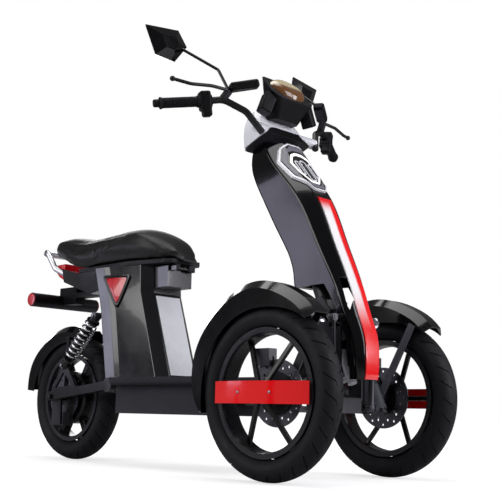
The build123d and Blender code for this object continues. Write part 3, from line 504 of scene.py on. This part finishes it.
def make_finishes():
    colours = bpy.context.scene.scooter_colours
    edge_grey = linear("3A3A40")
    FINISH.update(
        body=lacquered_abs("gloss_black_abs", tuple(colours.body_black), linear("26262C")),
        tower=lacquered_abs("satin_charcoal_abs", linear("0C0C11"), linear("26262C"), (0.14, 0.26),
                            coat=0.5, level=0.5),
        red=lacquered_abs("signal_red_abs", tuple(colours.signal_red), linear("F03A3A")),
        # the stripe carries a painted white reflection
        stripe=stripe_with_painted_reflection("stripe_with_painted_reflection", tuple(colours.signal_red), tuple(colours.stripe_painted_reflection)),
        silver=lacquered_abs("silver_lacquer", tuple(colours.silver), linear("E4E6EA"), (0.22, 0.34),
                             coat=0.7),
        plastic=textured_plastic("textured_black_abs", linear("09090B"), edge_grey),
        frame=powder_coat("black_powder_coat", linear("0A0A0C"), edge_grey),
        wheel=powder_coat("black_cast_alloy", linear("09090B"), linear("2C2C31"), (0.22, 0.36)),
        grey=powder_coat("grey_powder_coat", linear("2A2B30"), linear("6A6B72")),
        alloy=bare_metal("satin_aluminium", linear("D2D3D8"), (0.22, 0.38)),
        disc=bare_metal("ground_disc_steel", linear("5E5E64"), (0.25, 0.45), (900.0, 900.0, 900.0)),
        chrome=bare_metal("polished_chrome", linear("DADBDF"), (0.06, 0.16)),
        zinc=bare_metal("zinc_plated_steel", linear("9A9BA2"), (0.25, 0.4)),
        grip=textured_plastic("soft_grip_rubber", tuple(colours.rubber), linear("2A2A2E"),
                              (0.55, 0.75), depth=0.0001),
        bezel=lacquered_abs("grey_lamp_bezel", linear("6E6C76"), linear("A0A0A8"), (0.25, 0.4)),
        dark=lacquered_abs("smoked_lamp_window", linear("0E0E12"), linear("1C1C22"), (0.05, 0.12),
                           coat=1.0),
        # the screen's pale and brown halves are a painted reflection
        screen=screen_with_painted_reflection("screen_with_painted_reflection", linear("C9BC98"), linear("6A4524")),
        # the reflectors' emission is a painted glow
        reflector=prismatic_red("prismatic_red_acrylic", linear("D81624"), glow=0.06),
        lamp_red=prismatic_red("red_lamp_acrylic", linear("C80E1C"), glow=0.25),
        vinyl=grained_vinyl("grained_black_vinyl", tuple(colours.vinyl)),
        glow=glowing_plastic("opal_light_guide", linear("FFFFFF"), strength=0.7),
        glass=bare_metal("silvered_mirror_glass", linear("E8EAEC"), (0.02, 0.04),
                         (20.0, 20.0, 20.0), depth=0.0),
    )


def finish_nodes():
    """Which finish each visible CAD node has."""
    table = {
        "body": "front_shield right_fender left_fender rear_fender mirrors",
        "tower": "seat_tower tail_fairing",
        "red": "right_side_cover left_side_cover",
        "stripe": "front_stripe_panel",
        "silver": "steering_yoke tower_front_panel headlight_housing",
        "plastic": "floorboard underfloor_cover instrument_cowl master_cylinders switch_housings"
                   " plate_carrier seat_base yoke_collar front_indicators battery_pack seat_pad",
        "frame": "main_frame swingarm shock_absorbers lower_tilt_beam handlebars brake_levers"
                 " right_brake_caliper left_brake_caliper rear_brake_caliper relay_link",
        "wheel": "right_wheel left_wheel rear_motor_wheel",
        "grey": "right_knuckle left_knuckle tilt_uprights tilt_dampers",
        "alloy": "upper_tilt_beam grab_rail",
        "disc": "right_brake_disc left_brake_disc rear_brake_disc",
        "chrome": "rear_shock_springs",
        "grip": "grips right_tyre left_tyre rear_tyre",
        "dark": "headlight_lens",
        "screen": "instrument_screen",
        "reflector": "reflectors",
        "lamp_red": "tail_light",
    }
    return {node: FINISH[finish] for finish, names in table.items() for node in names.split()}


class SCOOTER_OT_finishes(bpy.types.Operator):
    """Make every finish and give each CAD node its own"""
    bl_idname = "scooter.finishes"
    bl_label = "Finish the CAD nodes"

    def execute(self, context):
        make_finishes()
        finishes = finish_nodes()
        for name, node in NODES.items():
            if name not in finishes:
                raise RuntimeError("no finish is given for the node " + name)
            node.data.materials.clear()
            node.data.materials.append(finishes[name])
        return {"FINISHED"}


# ---- tyres -------------------------------------

FRONT_BEAD = 0.181            # the radii where the tyres meet their rims
REAR_BEAD = 0.165
TREAD_STEPS = 6               # steps in a pitch: one across the groove, the others across the block
TYRE_ROWS = 44
SIPE_SPAN = (0.16, 1.12)      # from the tread's middle line to its shoulder, in radians of lean
SWEEP_LEAN = 1.1              # the lean at which a sipe has swept all the way
SWEEP_PITCHES = 0.55          # how far round it sweeps
SWEEP_POWER = 1.5
STAGGER_LEAN = 0.25           # the lean by which one side is set off from the other
STAGGER_PITCHES = 0.5
BEAD_OVERLAP = 0.002          # makes the ring's foot end flat, on the rim
BEAD_LIFT = 0.0005
SIPE_SLACK = 1.25             # a sipe's faces are up to this many groove widths across


def treaded_tyre(centre, outer_radius, width, pitches, bead_radius):
    """Tyre as a ring about Y with V-shaped sipes cut in its tread, staggered from side to side."""
    sizes = bpy.context.scene.scooter_sizes
    half_height = (outer_radius - bead_radius) / 2 + BEAD_OVERLAP
    middle = outer_radius - half_height
    wide = width / 2 / half_height
    steps = pitches * TREAD_STEPS
    deselect_everything()
    bpy.ops.mesh.primitive_torus_add(
        major_segments=steps, minor_segments=TYRE_ROWS, major_radius=middle, minor_radius=half_height,
        location=(0, 0, 0), rotation=(math.pi / 2, 0, 0))
    tyre = bpy.context.object
    apply_place(tyre)
    groove_angle = sizes.groove_width / outer_radius
    pitch_angle = 2 * math.pi / pitches
    rest_angle = (pitch_angle - groove_angle) / (TREAD_STEPS - 1)
    for vertex in tyre.data.vertices:
        x, y, z = vertex.co
        turn = math.atan2(z, x) % (2 * math.pi)
        step = round(turn / (2 * math.pi / steps)) % steps
        pitch, place = divmod(step, TREAD_STEPS)
        radius = math.hypot(x, z)
        lean = math.atan2(abs(y), radius - middle)
        within = 0 if place == 0 else groove_angle + (place - 1) * rest_angle
        sweep = SWEEP_PITCHES * pitch_angle * min(lean / SWEEP_LEAN, 1.0) ** SWEEP_POWER
        if y < -1e-6:
            sweep += STAGGER_PITCHES * pitch_angle * min(lean / STAGGER_LEAN, 1.0)
        turn = pitch * pitch_angle + within + sweep
        radius = max(radius, bead_radius + BEAD_LIFT)
        vertex.co = (radius * math.cos(turn), y * wide, radius * math.sin(turn))

    def is_sipe(face):
        co = face.calc_center_median()
        lean = math.atan2(abs(co.y) / wide, math.hypot(co.x, co.z) - middle)
        if not SIPE_SPAN[0] < lean < SIPE_SPAN[1]:
            return False
        return min(edge.calc_length() for edge in face.edges) < sizes.groove_width * SIPE_SLACK

    edit_faces(tyre, is_sipe)
    bpy.ops.mesh.extrude_region_shrink_fatten(
        TRANSFORM_OT_shrink_fatten={"value": -sizes.groove_depth})
    leave_edit_mode()
    tyre.location = centre
    return tyre


class SCOOTER_OT_tyres(bpy.types.Operator):
    """Model the three treaded tyres"""
    bl_idname = "scooter.tyres"
    bl_label = "Model the tyres"

    def execute(self, context):
        sizes = context.scene.scooter_sizes
        pitches = sizes.tread_pitches
        colour = tuple(context.scene.scooter_colours.rubber)
        for side, name in SIDES:
            centre = (FRONT_AXLE_X, side * TRACK_HALF, FRONT_RADIUS)
            tyre = treaded_tyre(centre, FRONT_RADIUS, sizes.front_tyre_width, pitches, FRONT_BEAD)
            rubber = tyre_rubber(name + "_tyre_rubber", colour, centre)
            finish_piece(tyre, name + "_treaded_tyre", name + "_front_wheel", rubber, 40)
            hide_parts(name + "_tyre")
        centre = (REAR_AXLE_X, 0, REAR_RADIUS)
        tyre = treaded_tyre(centre, REAR_RADIUS, sizes.rear_tyre_width, pitches, REAR_BEAD)
        rubber = tyre_rubber("rear_tyre_rubber", colour, centre)
        finish_piece(tyre, "rear_treaded_tyre", "rear_wheel", rubber, 40)
        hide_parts("rear_tyre")
        return {"FINISHED"}


# ---- seat cushion ------------------------------

CUSHION_VOXEL = 0.006
CUSHION_INSET = 0.004         # how much smaller the foam is cut before it swells
NOSE_START = -0.16            # where the cushion begins to narrow, and over what length
NOSE_LENGTH = 0.15
NOSE_NARROWING = 0.32         # share of the width that goes by the tip
NOSE_PULL = 0.010             # how far back the tip is drawn
CLOTH_PRESSURE = 4.0
CLOTH_STIFFNESS = 20
CLOTH_FRAMES = 14


def foam_cushion():
    """Cushion swollen by air pressure from a slightly smaller cut shape."""
    cushion = own_copy(NODES["seat_pad"], "seat_cushion")
    cushion.parent = None
    cushion.matrix_world = Matrix.Identity(4)
    tidy_mesh(cushion)
    apply_modifier(cushion, "REMESH", mode="VOXEL", voxel_size=CUSHION_VOXEL)
    apply_modifier(cushion, "SMOOTH", factor=0.5, iterations=6)
    edit_faces(cushion, lambda face: True)
    bpy.ops.transform.shrink_fatten(value=-CUSHION_INSET)
    leave_edit_mode()
    for vertex in cushion.data.vertices:
        ahead = min(max((vertex.co.x - NOSE_START) / NOSE_LENGTH, 0.0), 1.0)
        vertex.co.y *= 1 - NOSE_NARROWING * ahead ** 2
        vertex.co.x -= NOSE_PULL * ahead ** 2
    before = [vertex.co.copy() for vertex in cushion.data.vertices]
    make_active(cushion)
    bpy.ops.object.modifier_add(type="CLOTH")
    cloth = cushion.modifiers["Cloth"]
    cloth.settings.use_pressure = True
    cloth.settings.uniform_pressure_force = CLOTH_PRESSURE
    cloth.settings.effector_weights.gravity = 0.0
    cloth.settings.tension_stiffness = CLOTH_STIFFNESS
    cloth.settings.compression_stiffness = CLOTH_STIFFNESS
    scene = bpy.context.scene
    for step in range(1, CLOTH_FRAMES + 1):
        scene.frame_set(step)
    bpy.ops.object.modifier_apply(modifier=cloth.name)
    scene.frame_set(1)
    cap = bpy.context.scene.scooter_sizes.cushion_cap
    for vertex, start in zip(cushion.data.vertices, before):
        move = vertex.co - start
        if move.z < 0:
            move.z = 0
        if move.length > cap:
            move = move.normalized() * cap
        vertex.co = start + move
    apply_modifier(cushion, "SUBSURF", levels=1, render_levels=1)
    return cushion


class SCOOTER_OT_cushion(bpy.types.Operator):
    """Model the padded seat"""
    bl_idname = "scooter.cushion"
    bl_label = "Model the seat cushion"

    def execute(self, context):
        cushion = foam_cushion()
        finish_piece(cushion, "seat_cushion", "seat", FINISH["vinyl"], 60)
        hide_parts("seat_pad")
        return {"FINISHED"}


# ---- headlight ---------------------------------

LAMP_MIDDLE = Vector((0.529, 0.0, 0.957))
LAMP_UP = Vector((-0.586, 0.0, 0.81))
LAMP_OUT = Vector((0.81, 0.0, 0.586))
LAMP_OUTLINE = [(-0.024, -0.097), (0.024, -0.097), (0.068, -0.038), (0.079, 0.032), (0.057, 0.079),
                (0.022, 0.096), (-0.022, 0.096), (-0.057, 0.079), (-0.079, 0.032), (-0.068, -0.038)]
LAMP_NARROWS_TO = (0.0, -0.014)   # the point that the inner outlines draw in to
PROBE_REACH = 0.1                 # how far off a window a probe of it starts
# each slot's place across the lamp, half its width, and its two ends up the lamp
LAMP_SLOTS = ((0.0, 0.0105, -0.06, 0.03), (-0.031, 0.006, -0.036, 0.022), (0.031, 0.006, -0.036, 0.022))
SLOT_BORDER = 0.004
SLOT_ROUNDING = 0.9               # share of half its width


def on_lamp(points):
    """Points across and up the lamp, laid on its window."""
    laid = []
    for across, up in points:
        start = LAMP_MIDDLE + Vector((0, across, 0)) + LAMP_UP * up + LAMP_OUT * PROBE_REACH
        laid.append(surface_point("headlight_lens", start, -LAMP_OUT)[0])
    return laid


def lamp_slot(across, half_width, low, high, border):
    """Outline of an upright slot grown by a border."""
    left, right = across - half_width - border, across + half_width + border
    corners = [(left, low - border), (right, low - border), (right, high + border), (left, high + border)]
    return on_lamp(rounded_outline(corners, half_width * SLOT_ROUNDING + border))


def lamp_ring(window, outer, inner, thickness):
    """Ring on the lamp between two shares of its window's outline."""
    return plate(on_lamp(shrunk(window, outer, LAMP_NARROWS_TO)), LAMP_OUT, thickness,
                 on_lamp(shrunk(window, inner, LAMP_NARROWS_TO)))


class SCOOTER_OT_headlight(bpy.types.Operator):
    """Model the lamp's bezel, light guide and reflector slots"""
    bl_idname = "scooter.headlight"
    bl_label = "Model the headlight"

    def execute(self, context):
        window = rounded_outline(LAMP_OUTLINE, 0.012, steps=5)
        bezel = lamp_ring(window, outer=0.97, inner=0.80, thickness=0.0022)
        finish_piece(bezel, "lamp_bezel", "chassis", FINISH["bezel"])
        guide = lamp_ring(window, outer=0.71, inner=0.62, thickness=0.0015)
        finish_piece(guide, "lamp_light_guide", "chassis", FINISH["glow"])
        slots = [plate(lamp_slot(*slot, SLOT_BORDER), LAMP_OUT, 0.003, lamp_slot(*slot, 0.0))
                 for slot in LAMP_SLOTS]
        finish_piece(joined_pieces(slots), "lamp_slot_frames", "chassis", FINISH["silver"])
        return {"FINISHED"}


# ---- rear reflectors ---------------------------

REFLECTOR_CORNERS = [Vector((-0.3095, -0.1285, 0.6602)), Vector((-0.2045, -0.1056, 0.6602)),
                     Vector((-0.2481, -0.1195, 0.5554))]
END_LAMP_RADIUS = 0.0235
END_LAMP_PLACE = (-0.745, 0.1545, 0.608)      # ahead, across from the middle plane, up
END_LAMP_DOME = ((0.003, 0.0006), (0.006, 0.0004), (0.007, 0.0002))   # each inset and the rise after it


def tower_reflector():
    """Three-cornered reflector and its raised frame, on the tower's right side."""
    first, second, third = REFLECTOR_CORNERS
    outward = (second - first).cross(third - first).normalized()
    outward = outward if outward.y < 0 else -outward
    middle = (first + second + third) / 3
    lift = outward * 0.0005
    corners = [corner + lift for corner in rounded_outline(REFLECTOR_CORNERS, 0.01)]
    face = plate(shrunk(corners, 0.93, middle), outward, thickness=0.0045)
    frame_ring = plate(shrunk(corners, 1.24, middle), outward, thickness=0.006,
                       inner=shrunk(corners, 0.95, middle))
    return face, frame_ring


def mirrored_copy(piece, name):
    """Own copy on the other side of the middle plane, right side out."""
    twin = own_copy(piece, name)
    twin.scale = (1, -1, 1)
    apply_place(twin)
    tidy_mesh(twin)
    return twin


def end_lamp(side):
    """Round reflector with a domed face, on the end of the plate bar."""
    deselect_everything()
    bpy.ops.mesh.primitive_cylinder_add(vertices=48, radius=END_LAMP_RADIUS, depth=0.004)
    disc = bpy.context.object
    edit_faces(disc, lambda face: face.normal.z > 0.9)
    for inset, rise in END_LAMP_DOME:
        bpy.ops.mesh.inset(thickness=inset)
        bpy.ops.transform.translate(value=(0, 0, rise))
    leave_edit_mode()
    ahead, across, up = END_LAMP_PLACE
    return stand_along(disc, (ahead, side * across, up), (0, side, 0))


class SCOOTER_OT_reflectors(bpy.types.Operator):
    """Model the tower's reflectors and the round ones on the plate bar"""
    bl_idname = "scooter.reflectors"
    bl_label = "Model the reflectors"

    def execute(self, context):
        face, frame_ring = tower_reflector()
        faces = joined_pieces([face, mirrored_copy(face, "left_face"), end_lamp(-1), end_lamp(1)])
        finish_piece(faces, "rear_reflectors", "chassis", FINISH["reflector"])
        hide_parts("reflectors")
        rings = joined_pieces([frame_ring, mirrored_copy(frame_ring, "left_ring")])
        finish_piece(rings, "reflector_frames", "chassis", FINISH["body"])
        return {"FINISHED"}


# ---- hand grips and mirror glass ---------------

GRIP_INNER = Vector((0.360, -0.310, 1.140))     # the right grip's two ends
GRIP_OUTER = Vector((0.298, -0.421, 1.120))
GRIP_RADIUS = 0.0165          # over the ribs
FLANGE_EDGE = 0.0185          # a flange's radius, at its edge and at its face
FLANGE_FACE = 0.019
PLUG_RADIUS = 0.0125          # the bar's end plug
RIBS = 26
RIBS_START = 0.0055           # along the grip, and the length that the ribs take up
RIBS_LENGTH = 0.11
# along each rib from its start: the valley's end, the rib's start and the rib's end
RIB_STEPS = (0.0016, 0.002, 0.0038)
# each mirror's place ahead, and its head's corners across and up
MIRROR_HEADS = (
    (0.265, ((-0.464, 1.370), (-0.328, 1.390), (-0.290, 1.345), (-0.340, 1.281), (-0.418, 1.285))),
    (0.295, ((0.318, 1.352), (0.290, 1.276), (0.232, 1.270), (0.182, 1.312), (0.190, 1.368))))
GLASS_SHARE = 0.86            # of its head's outline
GLASS_THICKNESS = 0.0015


def ribbed_grip():
    """Rubber sleeve with a flange at each end and ribs between, drawn out ring by ring."""
    valley = GRIP_RADIUS - bpy.context.scene.scooter_sizes.rib_depth
    along = (GRIP_OUTER - GRIP_INNER).normalized()
    deselect_everything()
    bpy.ops.mesh.primitive_circle_add(vertices=40, radius=FLANGE_EDGE, fill_type="NGON")
    grip = bpy.context.object
    profile = [(0.004, FLANGE_FACE), (0.0045, FLANGE_EDGE)]
    for rib in range(RIBS):
        start = RIBS_START + rib * RIBS_LENGTH / RIBS
        valley_end, rib_start, rib_end = (start + step for step in RIB_STEPS)
        profile += [(start, valley), (valley_end, valley), (rib_start, GRIP_RADIUS), (rib_end, GRIP_RADIUS)]
    profile += [(0.117, GRIP_RADIUS), (0.1175, FLANGE_EDGE), (0.1225, FLANGE_FACE), (0.1245, GRIP_RADIUS),
                (0.1246, PLUG_RADIUS), (0.140, PLUG_RADIUS), (0.143, 0.0105)]
    edit_faces(grip, lambda face: True)
    at, radius = 0.0, FLANGE_EDGE
    for end, wanted in profile:
        bpy.ops.mesh.extrude_region_move(TRANSFORM_OT_translate={"value": (0, 0, end - at)})
        bpy.ops.transform.resize(value=(wanted / radius, wanted / radius, 1.0), center_override=(0, 0, end))
        at, radius = end, wanted
    leave_edit_mode()
    tidy_mesh(grip)
    return stand_along(grip, GRIP_INNER + along * 0.002, along)


class SCOOTER_OT_cockpit(bpy.types.Operator):
    """Model the ribbed grips and the mirrors' glasses"""
    bl_idname = "scooter.cockpit"
    bl_label = "Model the grips and mirror glasses"

    def execute(self, context):
        grip = ribbed_grip()
        grips = joined_pieces([grip, mirrored_copy(grip, "left_grip")])
        finish_piece(grips, "ribbed_grips", "steering", FINISH["grip"], 25)
        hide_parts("grips")
        glasses = []
        for x, head in MIRROR_HEADS:
            corners = rounded_outline([Vector((x, y, z)) for y, z in head], 0.012)
            middle = sum(corners, Vector()) / len(corners)
            glasses.append(plate(shrunk(corners, GLASS_SHARE, middle), (-1, 0, 0), GLASS_THICKNESS))
        finish_piece(joined_pieces(glasses), "mirror_glasses", "steering", FINISH["glass"])
        return {"FINISHED"}


# ---- fasteners ---------------------------------

COVER_SCREW = 0.0042          # the radii of the screws' heads
DISC_SCREW = 0.0045
MOTOR_SCREW = 0.004
FLOOR_SCREW = 0.004
SHOCK_SCREW = 0.0075
DISC_CIRCLE = 0.062           # the radii of the circles that the screws stand on
MOTOR_CIRCLE = 0.085
COVER_SCREW_PLACES = (-0.06, 0.06)     # ahead of the axle
FLOOR_SCREW_PLACES = (-0.20, 0.0, 0.19)
FLOOR_SCREW_ACROSS = 0.145
AXLE_PROBE = 0.2              # where a probe of a surface starts
SHOCK_PROBE = 0.3
COVER_PROBE = 0.5
FLOOR_PROBE = 0.5
# the node under each shock's screw, and its place ahead and up
SHOCK_SCREW_PLACES = (("main_frame", -0.376, 0.527), ("shock_absorbers", -0.557, 0.349))


def hex_screw(radius):
    """Six-sided head with a turned crown on a round washer, pointing along +Z."""
    head_middle, crown_inset, crown_rise = radius * 0.62, radius * 0.16, radius * 0.08
    washer_radius, washer_depth, washer_middle = radius * 1.35, radius * 0.3, radius * 0.1
    washer_bevel = radius * 0.08
    deselect_everything()
    bpy.ops.mesh.primitive_cylinder_add(vertices=6, radius=radius, depth=radius,
                                        location=(0, 0, head_middle))
    head = bpy.context.object
    edit_faces(head, lambda face: face.normal.z > 0.9)
    bpy.ops.mesh.inset(thickness=crown_inset)
    bpy.ops.transform.translate(value=(0, 0, crown_rise))
    leave_edit_mode()
    deselect_everything()
    bpy.ops.mesh.primitive_cylinder_add(vertices=28, radius=washer_radius, depth=washer_depth,
                                        location=(0, 0, washer_middle))
    washer = bpy.context.object
    apply_modifier(washer, "BEVEL", width=washer_bevel, segments=2)
    return joined_pieces([head, washer])


def screws(name, body, finish, spots):
    """One piece of like screws; a spot is a node, a point beyond it, the way in to it and a head radius."""
    pieces = []
    for node, start, inward, radius in spots:
        place, normal = surface_point(node, start, inward)
        screw = hex_screw(radius)
        axis = normal if normal.dot(Vector(inward)) < -0.5 else -Vector(inward)
        pieces.append(stand_along(screw, place, axis))
    return finish_piece(joined_pieces(pieces), name, body, FINISH[finish])


def ring_of(node, middle, radius, count, side, head, phase=0.0):
    """Spots evenly spaced round an axle, met from one side."""
    spots = []
    for step in range(count):
        turn = phase + 2 * math.pi * step / count
        start = (middle[0] + radius * math.cos(turn), middle[1] + side * AXLE_PROBE,
                 middle[2] + radius * math.sin(turn))
        spots.append((node, start, (0, -side, 0), head))
    return spots


class SCOOTER_OT_fasteners(bpy.types.Operator):
    """Model the screws that show"""
    bl_idname = "scooter.fasteners"
    bl_label = "Model the fasteners"

    def execute(self, context):
        for side, name in SIDES:
            covers = [(name + "_side_cover", (FRONT_AXLE_X + ahead, side * COVER_PROBE, FRONT_RADIUS),
                       (0, -side, 0), COVER_SCREW) for ahead in COVER_SCREW_PLACES]
            screws(name + "_cover_screws", name + "_steered_hub", "zinc", covers)
            middle = (FRONT_AXLE_X, side * TRACK_HALF, FRONT_RADIUS)
            screws(name + "_disc_screws", name + "_front_wheel", "zinc",
                   ring_of(name + "_brake_disc", middle, DISC_CIRCLE, 6, -side, DISC_SCREW, phase=0.3))
        hub = (REAR_AXLE_X, 0.0, REAR_RADIUS)
        screws("motor_cover_screws", "rear_wheel", "zinc",
               [spot for side in (1, -1)
                for spot in ring_of("rear_motor_wheel", hub, MOTOR_CIRCLE, 8, side, MOTOR_SCREW)])
        floor = [("floorboard", (x, side * FLOOR_SCREW_ACROSS, FLOOR_PROBE), (0, 0, -1), FLOOR_SCREW)
                 for side in (-1, 1) for x in FLOOR_SCREW_PLACES]
        shocks = [(node, (x, side * SHOCK_PROBE, z), (0, -side, 0), SHOCK_SCREW)
                  for side in (-1, 1) for node, x, z in SHOCK_SCREW_PLACES]
        screws("chassis_screws", "chassis", "zinc", floor + shocks)
        return {"FINISHED"}


# ---- stage -------------------------------------

WHITE = (1.0, 1.0, 1.0)
# each lamp's name, place, target, width and height, power and colour
SOFTBOXES = (
    ("side_softbox", (-0.6, -3.6, 2.0), (-0.1, 0, 0.55), (3.0, 2.2), 75, WHITE),
    ("front_softbox", (3.6, 0.9, 1.7), (0.3, 0, 0.6), (1.6, 2.4), 60, (0.95, 0.95, 1.0)),
    ("strip_softbox", (2.5, 1.7, 1.25), (0.1, 0, 0.55), (0.7, 1.6), 26, (0.93, 0.92, 1.0)),
    ("low_side_softbox", (-2.02, -1.74, 0.75), (0.5, -0.07, 0.75), (0.8, 0.8), 6, (0.8, 0.78, 1.0)),
    ("top_softbox", (0.0, -0.3, 3.8), (0, 0, 0.5), (3.6, 2.2), 80, WHITE),
    ("back_softbox", (-3.2, 2.0, 1.8), (-0.3, 0, 0.6), (1.6, 2.0), 40, WHITE))
FLOOR_SIZE = 60
FLOOR_FADE = (1.2, 3.6)       # out from the origin, while the floor lightens to the backdrop's white
FLOOR_LIFT = (0.62, 1.0)
WORLD_STRENGTH = (0.12, 1.0)  # as the pieces are lit by it, and as the camera sees it
CAMERA_PLACE = (2.5434, -2.2954, 0.1863)
CAMERA_HEADING = 134.43       # degrees
CAMERA_PITCH = 9.436
CAMERA_ROLL = 1.3126
SENSOR_WIDTH = 36.0           # mm, like the focal length
FOCAL_LENGTH = 70.93


def softbox(name, place, target, size, power, colour):
    """Area lamp that faces a target."""
    deselect_everything()
    bpy.ops.object.light_add(type="AREA", location=place)
    lamp = bpy.context.object
    lamp.name = name
    lamp.data.shape = "RECTANGLE"
    lamp.data.size, lamp.data.size_y = size
    lamp.data.energy = power
    lamp.data.color = colour
    lamp.rotation_euler = (Vector(target) - Vector(place)).to_track_quat("-Z", "Y").to_euler()


def floor_material():
    """Matt pale paper, which the camera alone sees lift to the backdrop's white further out."""
    material, place = new_finish("pale_studio_floor")
    path = add_node(material, "ShaderNodeLightPath")
    reach = add_node(material, "ShaderNodeVectorMath", {"operation": "LENGTH"}, {0: place})
    far = mapped(material, reach.outputs["Value"], FLOOR_FADE, FLOOR_LIFT)
    amount = add_node(material, "ShaderNodeMath", {"operation": "MULTIPLY"},
                      {0: path.outputs["Is Camera Ray"], 1: far})
    matt = add_node(material, "ShaderNodeBsdfDiffuse", {"Color": (0.5, 0.5, 0.505, 1.0)})
    lift = add_node(material, "ShaderNodeEmission", {"Color": (1, 1, 1, 1)},
                    {"Strength": amount.outputs[0]})
    both = add_node(material, "ShaderNodeAddShader", links={0: matt.outputs[0], 1: lift.outputs[0]})
    return close_material(material, both)


def studio_world():
    """White backdrop that lights the pieces much less than it shows."""
    world = bpy.data.worlds.new("white_studio")
    world.use_nodes = True
    world.node_tree.nodes.clear()
    path = add_node(world, "ShaderNodeLightPath")
    seen = mapped(world, path.outputs["Is Camera Ray"], (0.0, 1.0), WORLD_STRENGTH)
    sky = add_node(world, "ShaderNodeBackground", {"Color": (1, 1, 1, 1)}, {"Strength": seen})
    add_node(world, "ShaderNodeOutputWorld", links={"Surface": sky.outputs[0]})
    return world


class SCOOTER_OT_stage(bpy.types.Operator):
    """Set the floor, the lamps and the camera"""
    bl_idname = "scooter.stage"
    bl_label = "Set the stage"

    def execute(self, context):
        deselect_everything()
        bpy.ops.mesh.primitive_plane_add(size=FLOOR_SIZE, location=(0, 0, 0))
        floor = context.object
        floor.name = "studio_floor"
        floor.data.materials.append(floor_material())
        context.scene.world = studio_world()
        for lamp in SOFTBOXES:
            softbox(*lamp)
        bpy.ops.object.camera_add(location=CAMERA_PLACE)
        camera = context.object
        camera.name = "view_camera"
        turn = (Matrix.Rotation(math.radians(CAMERA_HEADING - 90), 3, "Z")
                @ Matrix.Rotation(math.radians(90 + CAMERA_PITCH), 3, "X")
                @ Matrix.Rotation(math.radians(CAMERA_ROLL), 3, "Z"))
        camera.rotation_euler = turn.to_euler()
        camera.data.sensor_width = SENSOR_WIDTH
        camera.data.lens = FOCAL_LENGTH
        camera.data.clip_start = 0.05
        context.scene.camera = camera
        context.scene.view_settings.view_transform = "Standard"
        return {"FINISHED"}


# ---- panel and registration --------------------

OPERATORS = (SCOOTER_OT_stage, SCOOTER_OT_finishes, SCOOTER_OT_tyres, SCOOTER_OT_cushion,
             SCOOTER_OT_headlight, SCOOTER_OT_reflectors, SCOOTER_OT_cockpit, SCOOTER_OT_fasteners)


class SCOOTER_PT_panel(bpy.types.Panel):
    """Sizes, colours and steps of the scooter"""
    bl_label = "Scooter"
    bl_idname = "SCOOTER_PT_panel"
    bl_space_type = "VIEW_3D"
    bl_region_type = "UI"
    bl_category = "Scooter"

    def draw(self, context):
        for group in (context.scene.scooter_sizes, context.scene.scooter_colours):
            box = self.layout.box()
            for name in group.__annotations__:
                box.prop(group, name)
        for operator in OPERATORS:
            self.layout.operator(operator.bl_idname)


CLASSES = (SCOOTER_PG_sizes, SCOOTER_PG_colours) + OPERATORS + (SCOOTER_PT_panel,)


def register():
    for cls in CLASSES:
        bpy.utils.register_class(cls)
    bpy.types.Scene.scooter_sizes = bpy.props.PointerProperty(type=SCOOTER_PG_sizes)
    bpy.types.Scene.scooter_colours = bpy.props.PointerProperty(type=SCOOTER_PG_colours)


def unregister():
    del bpy.types.Scene.scooter_colours
    del bpy.types.Scene.scooter_sizes
    for cls in reversed(CLASSES):
        bpy.utils.unregister_class(cls)


def main():
    register()
    for operator in OPERATORS:
        group, name = operator.bl_idname.split(".")
        getattr(getattr(bpy.ops, group), name)()


if __name__ == "__main__":
    main()
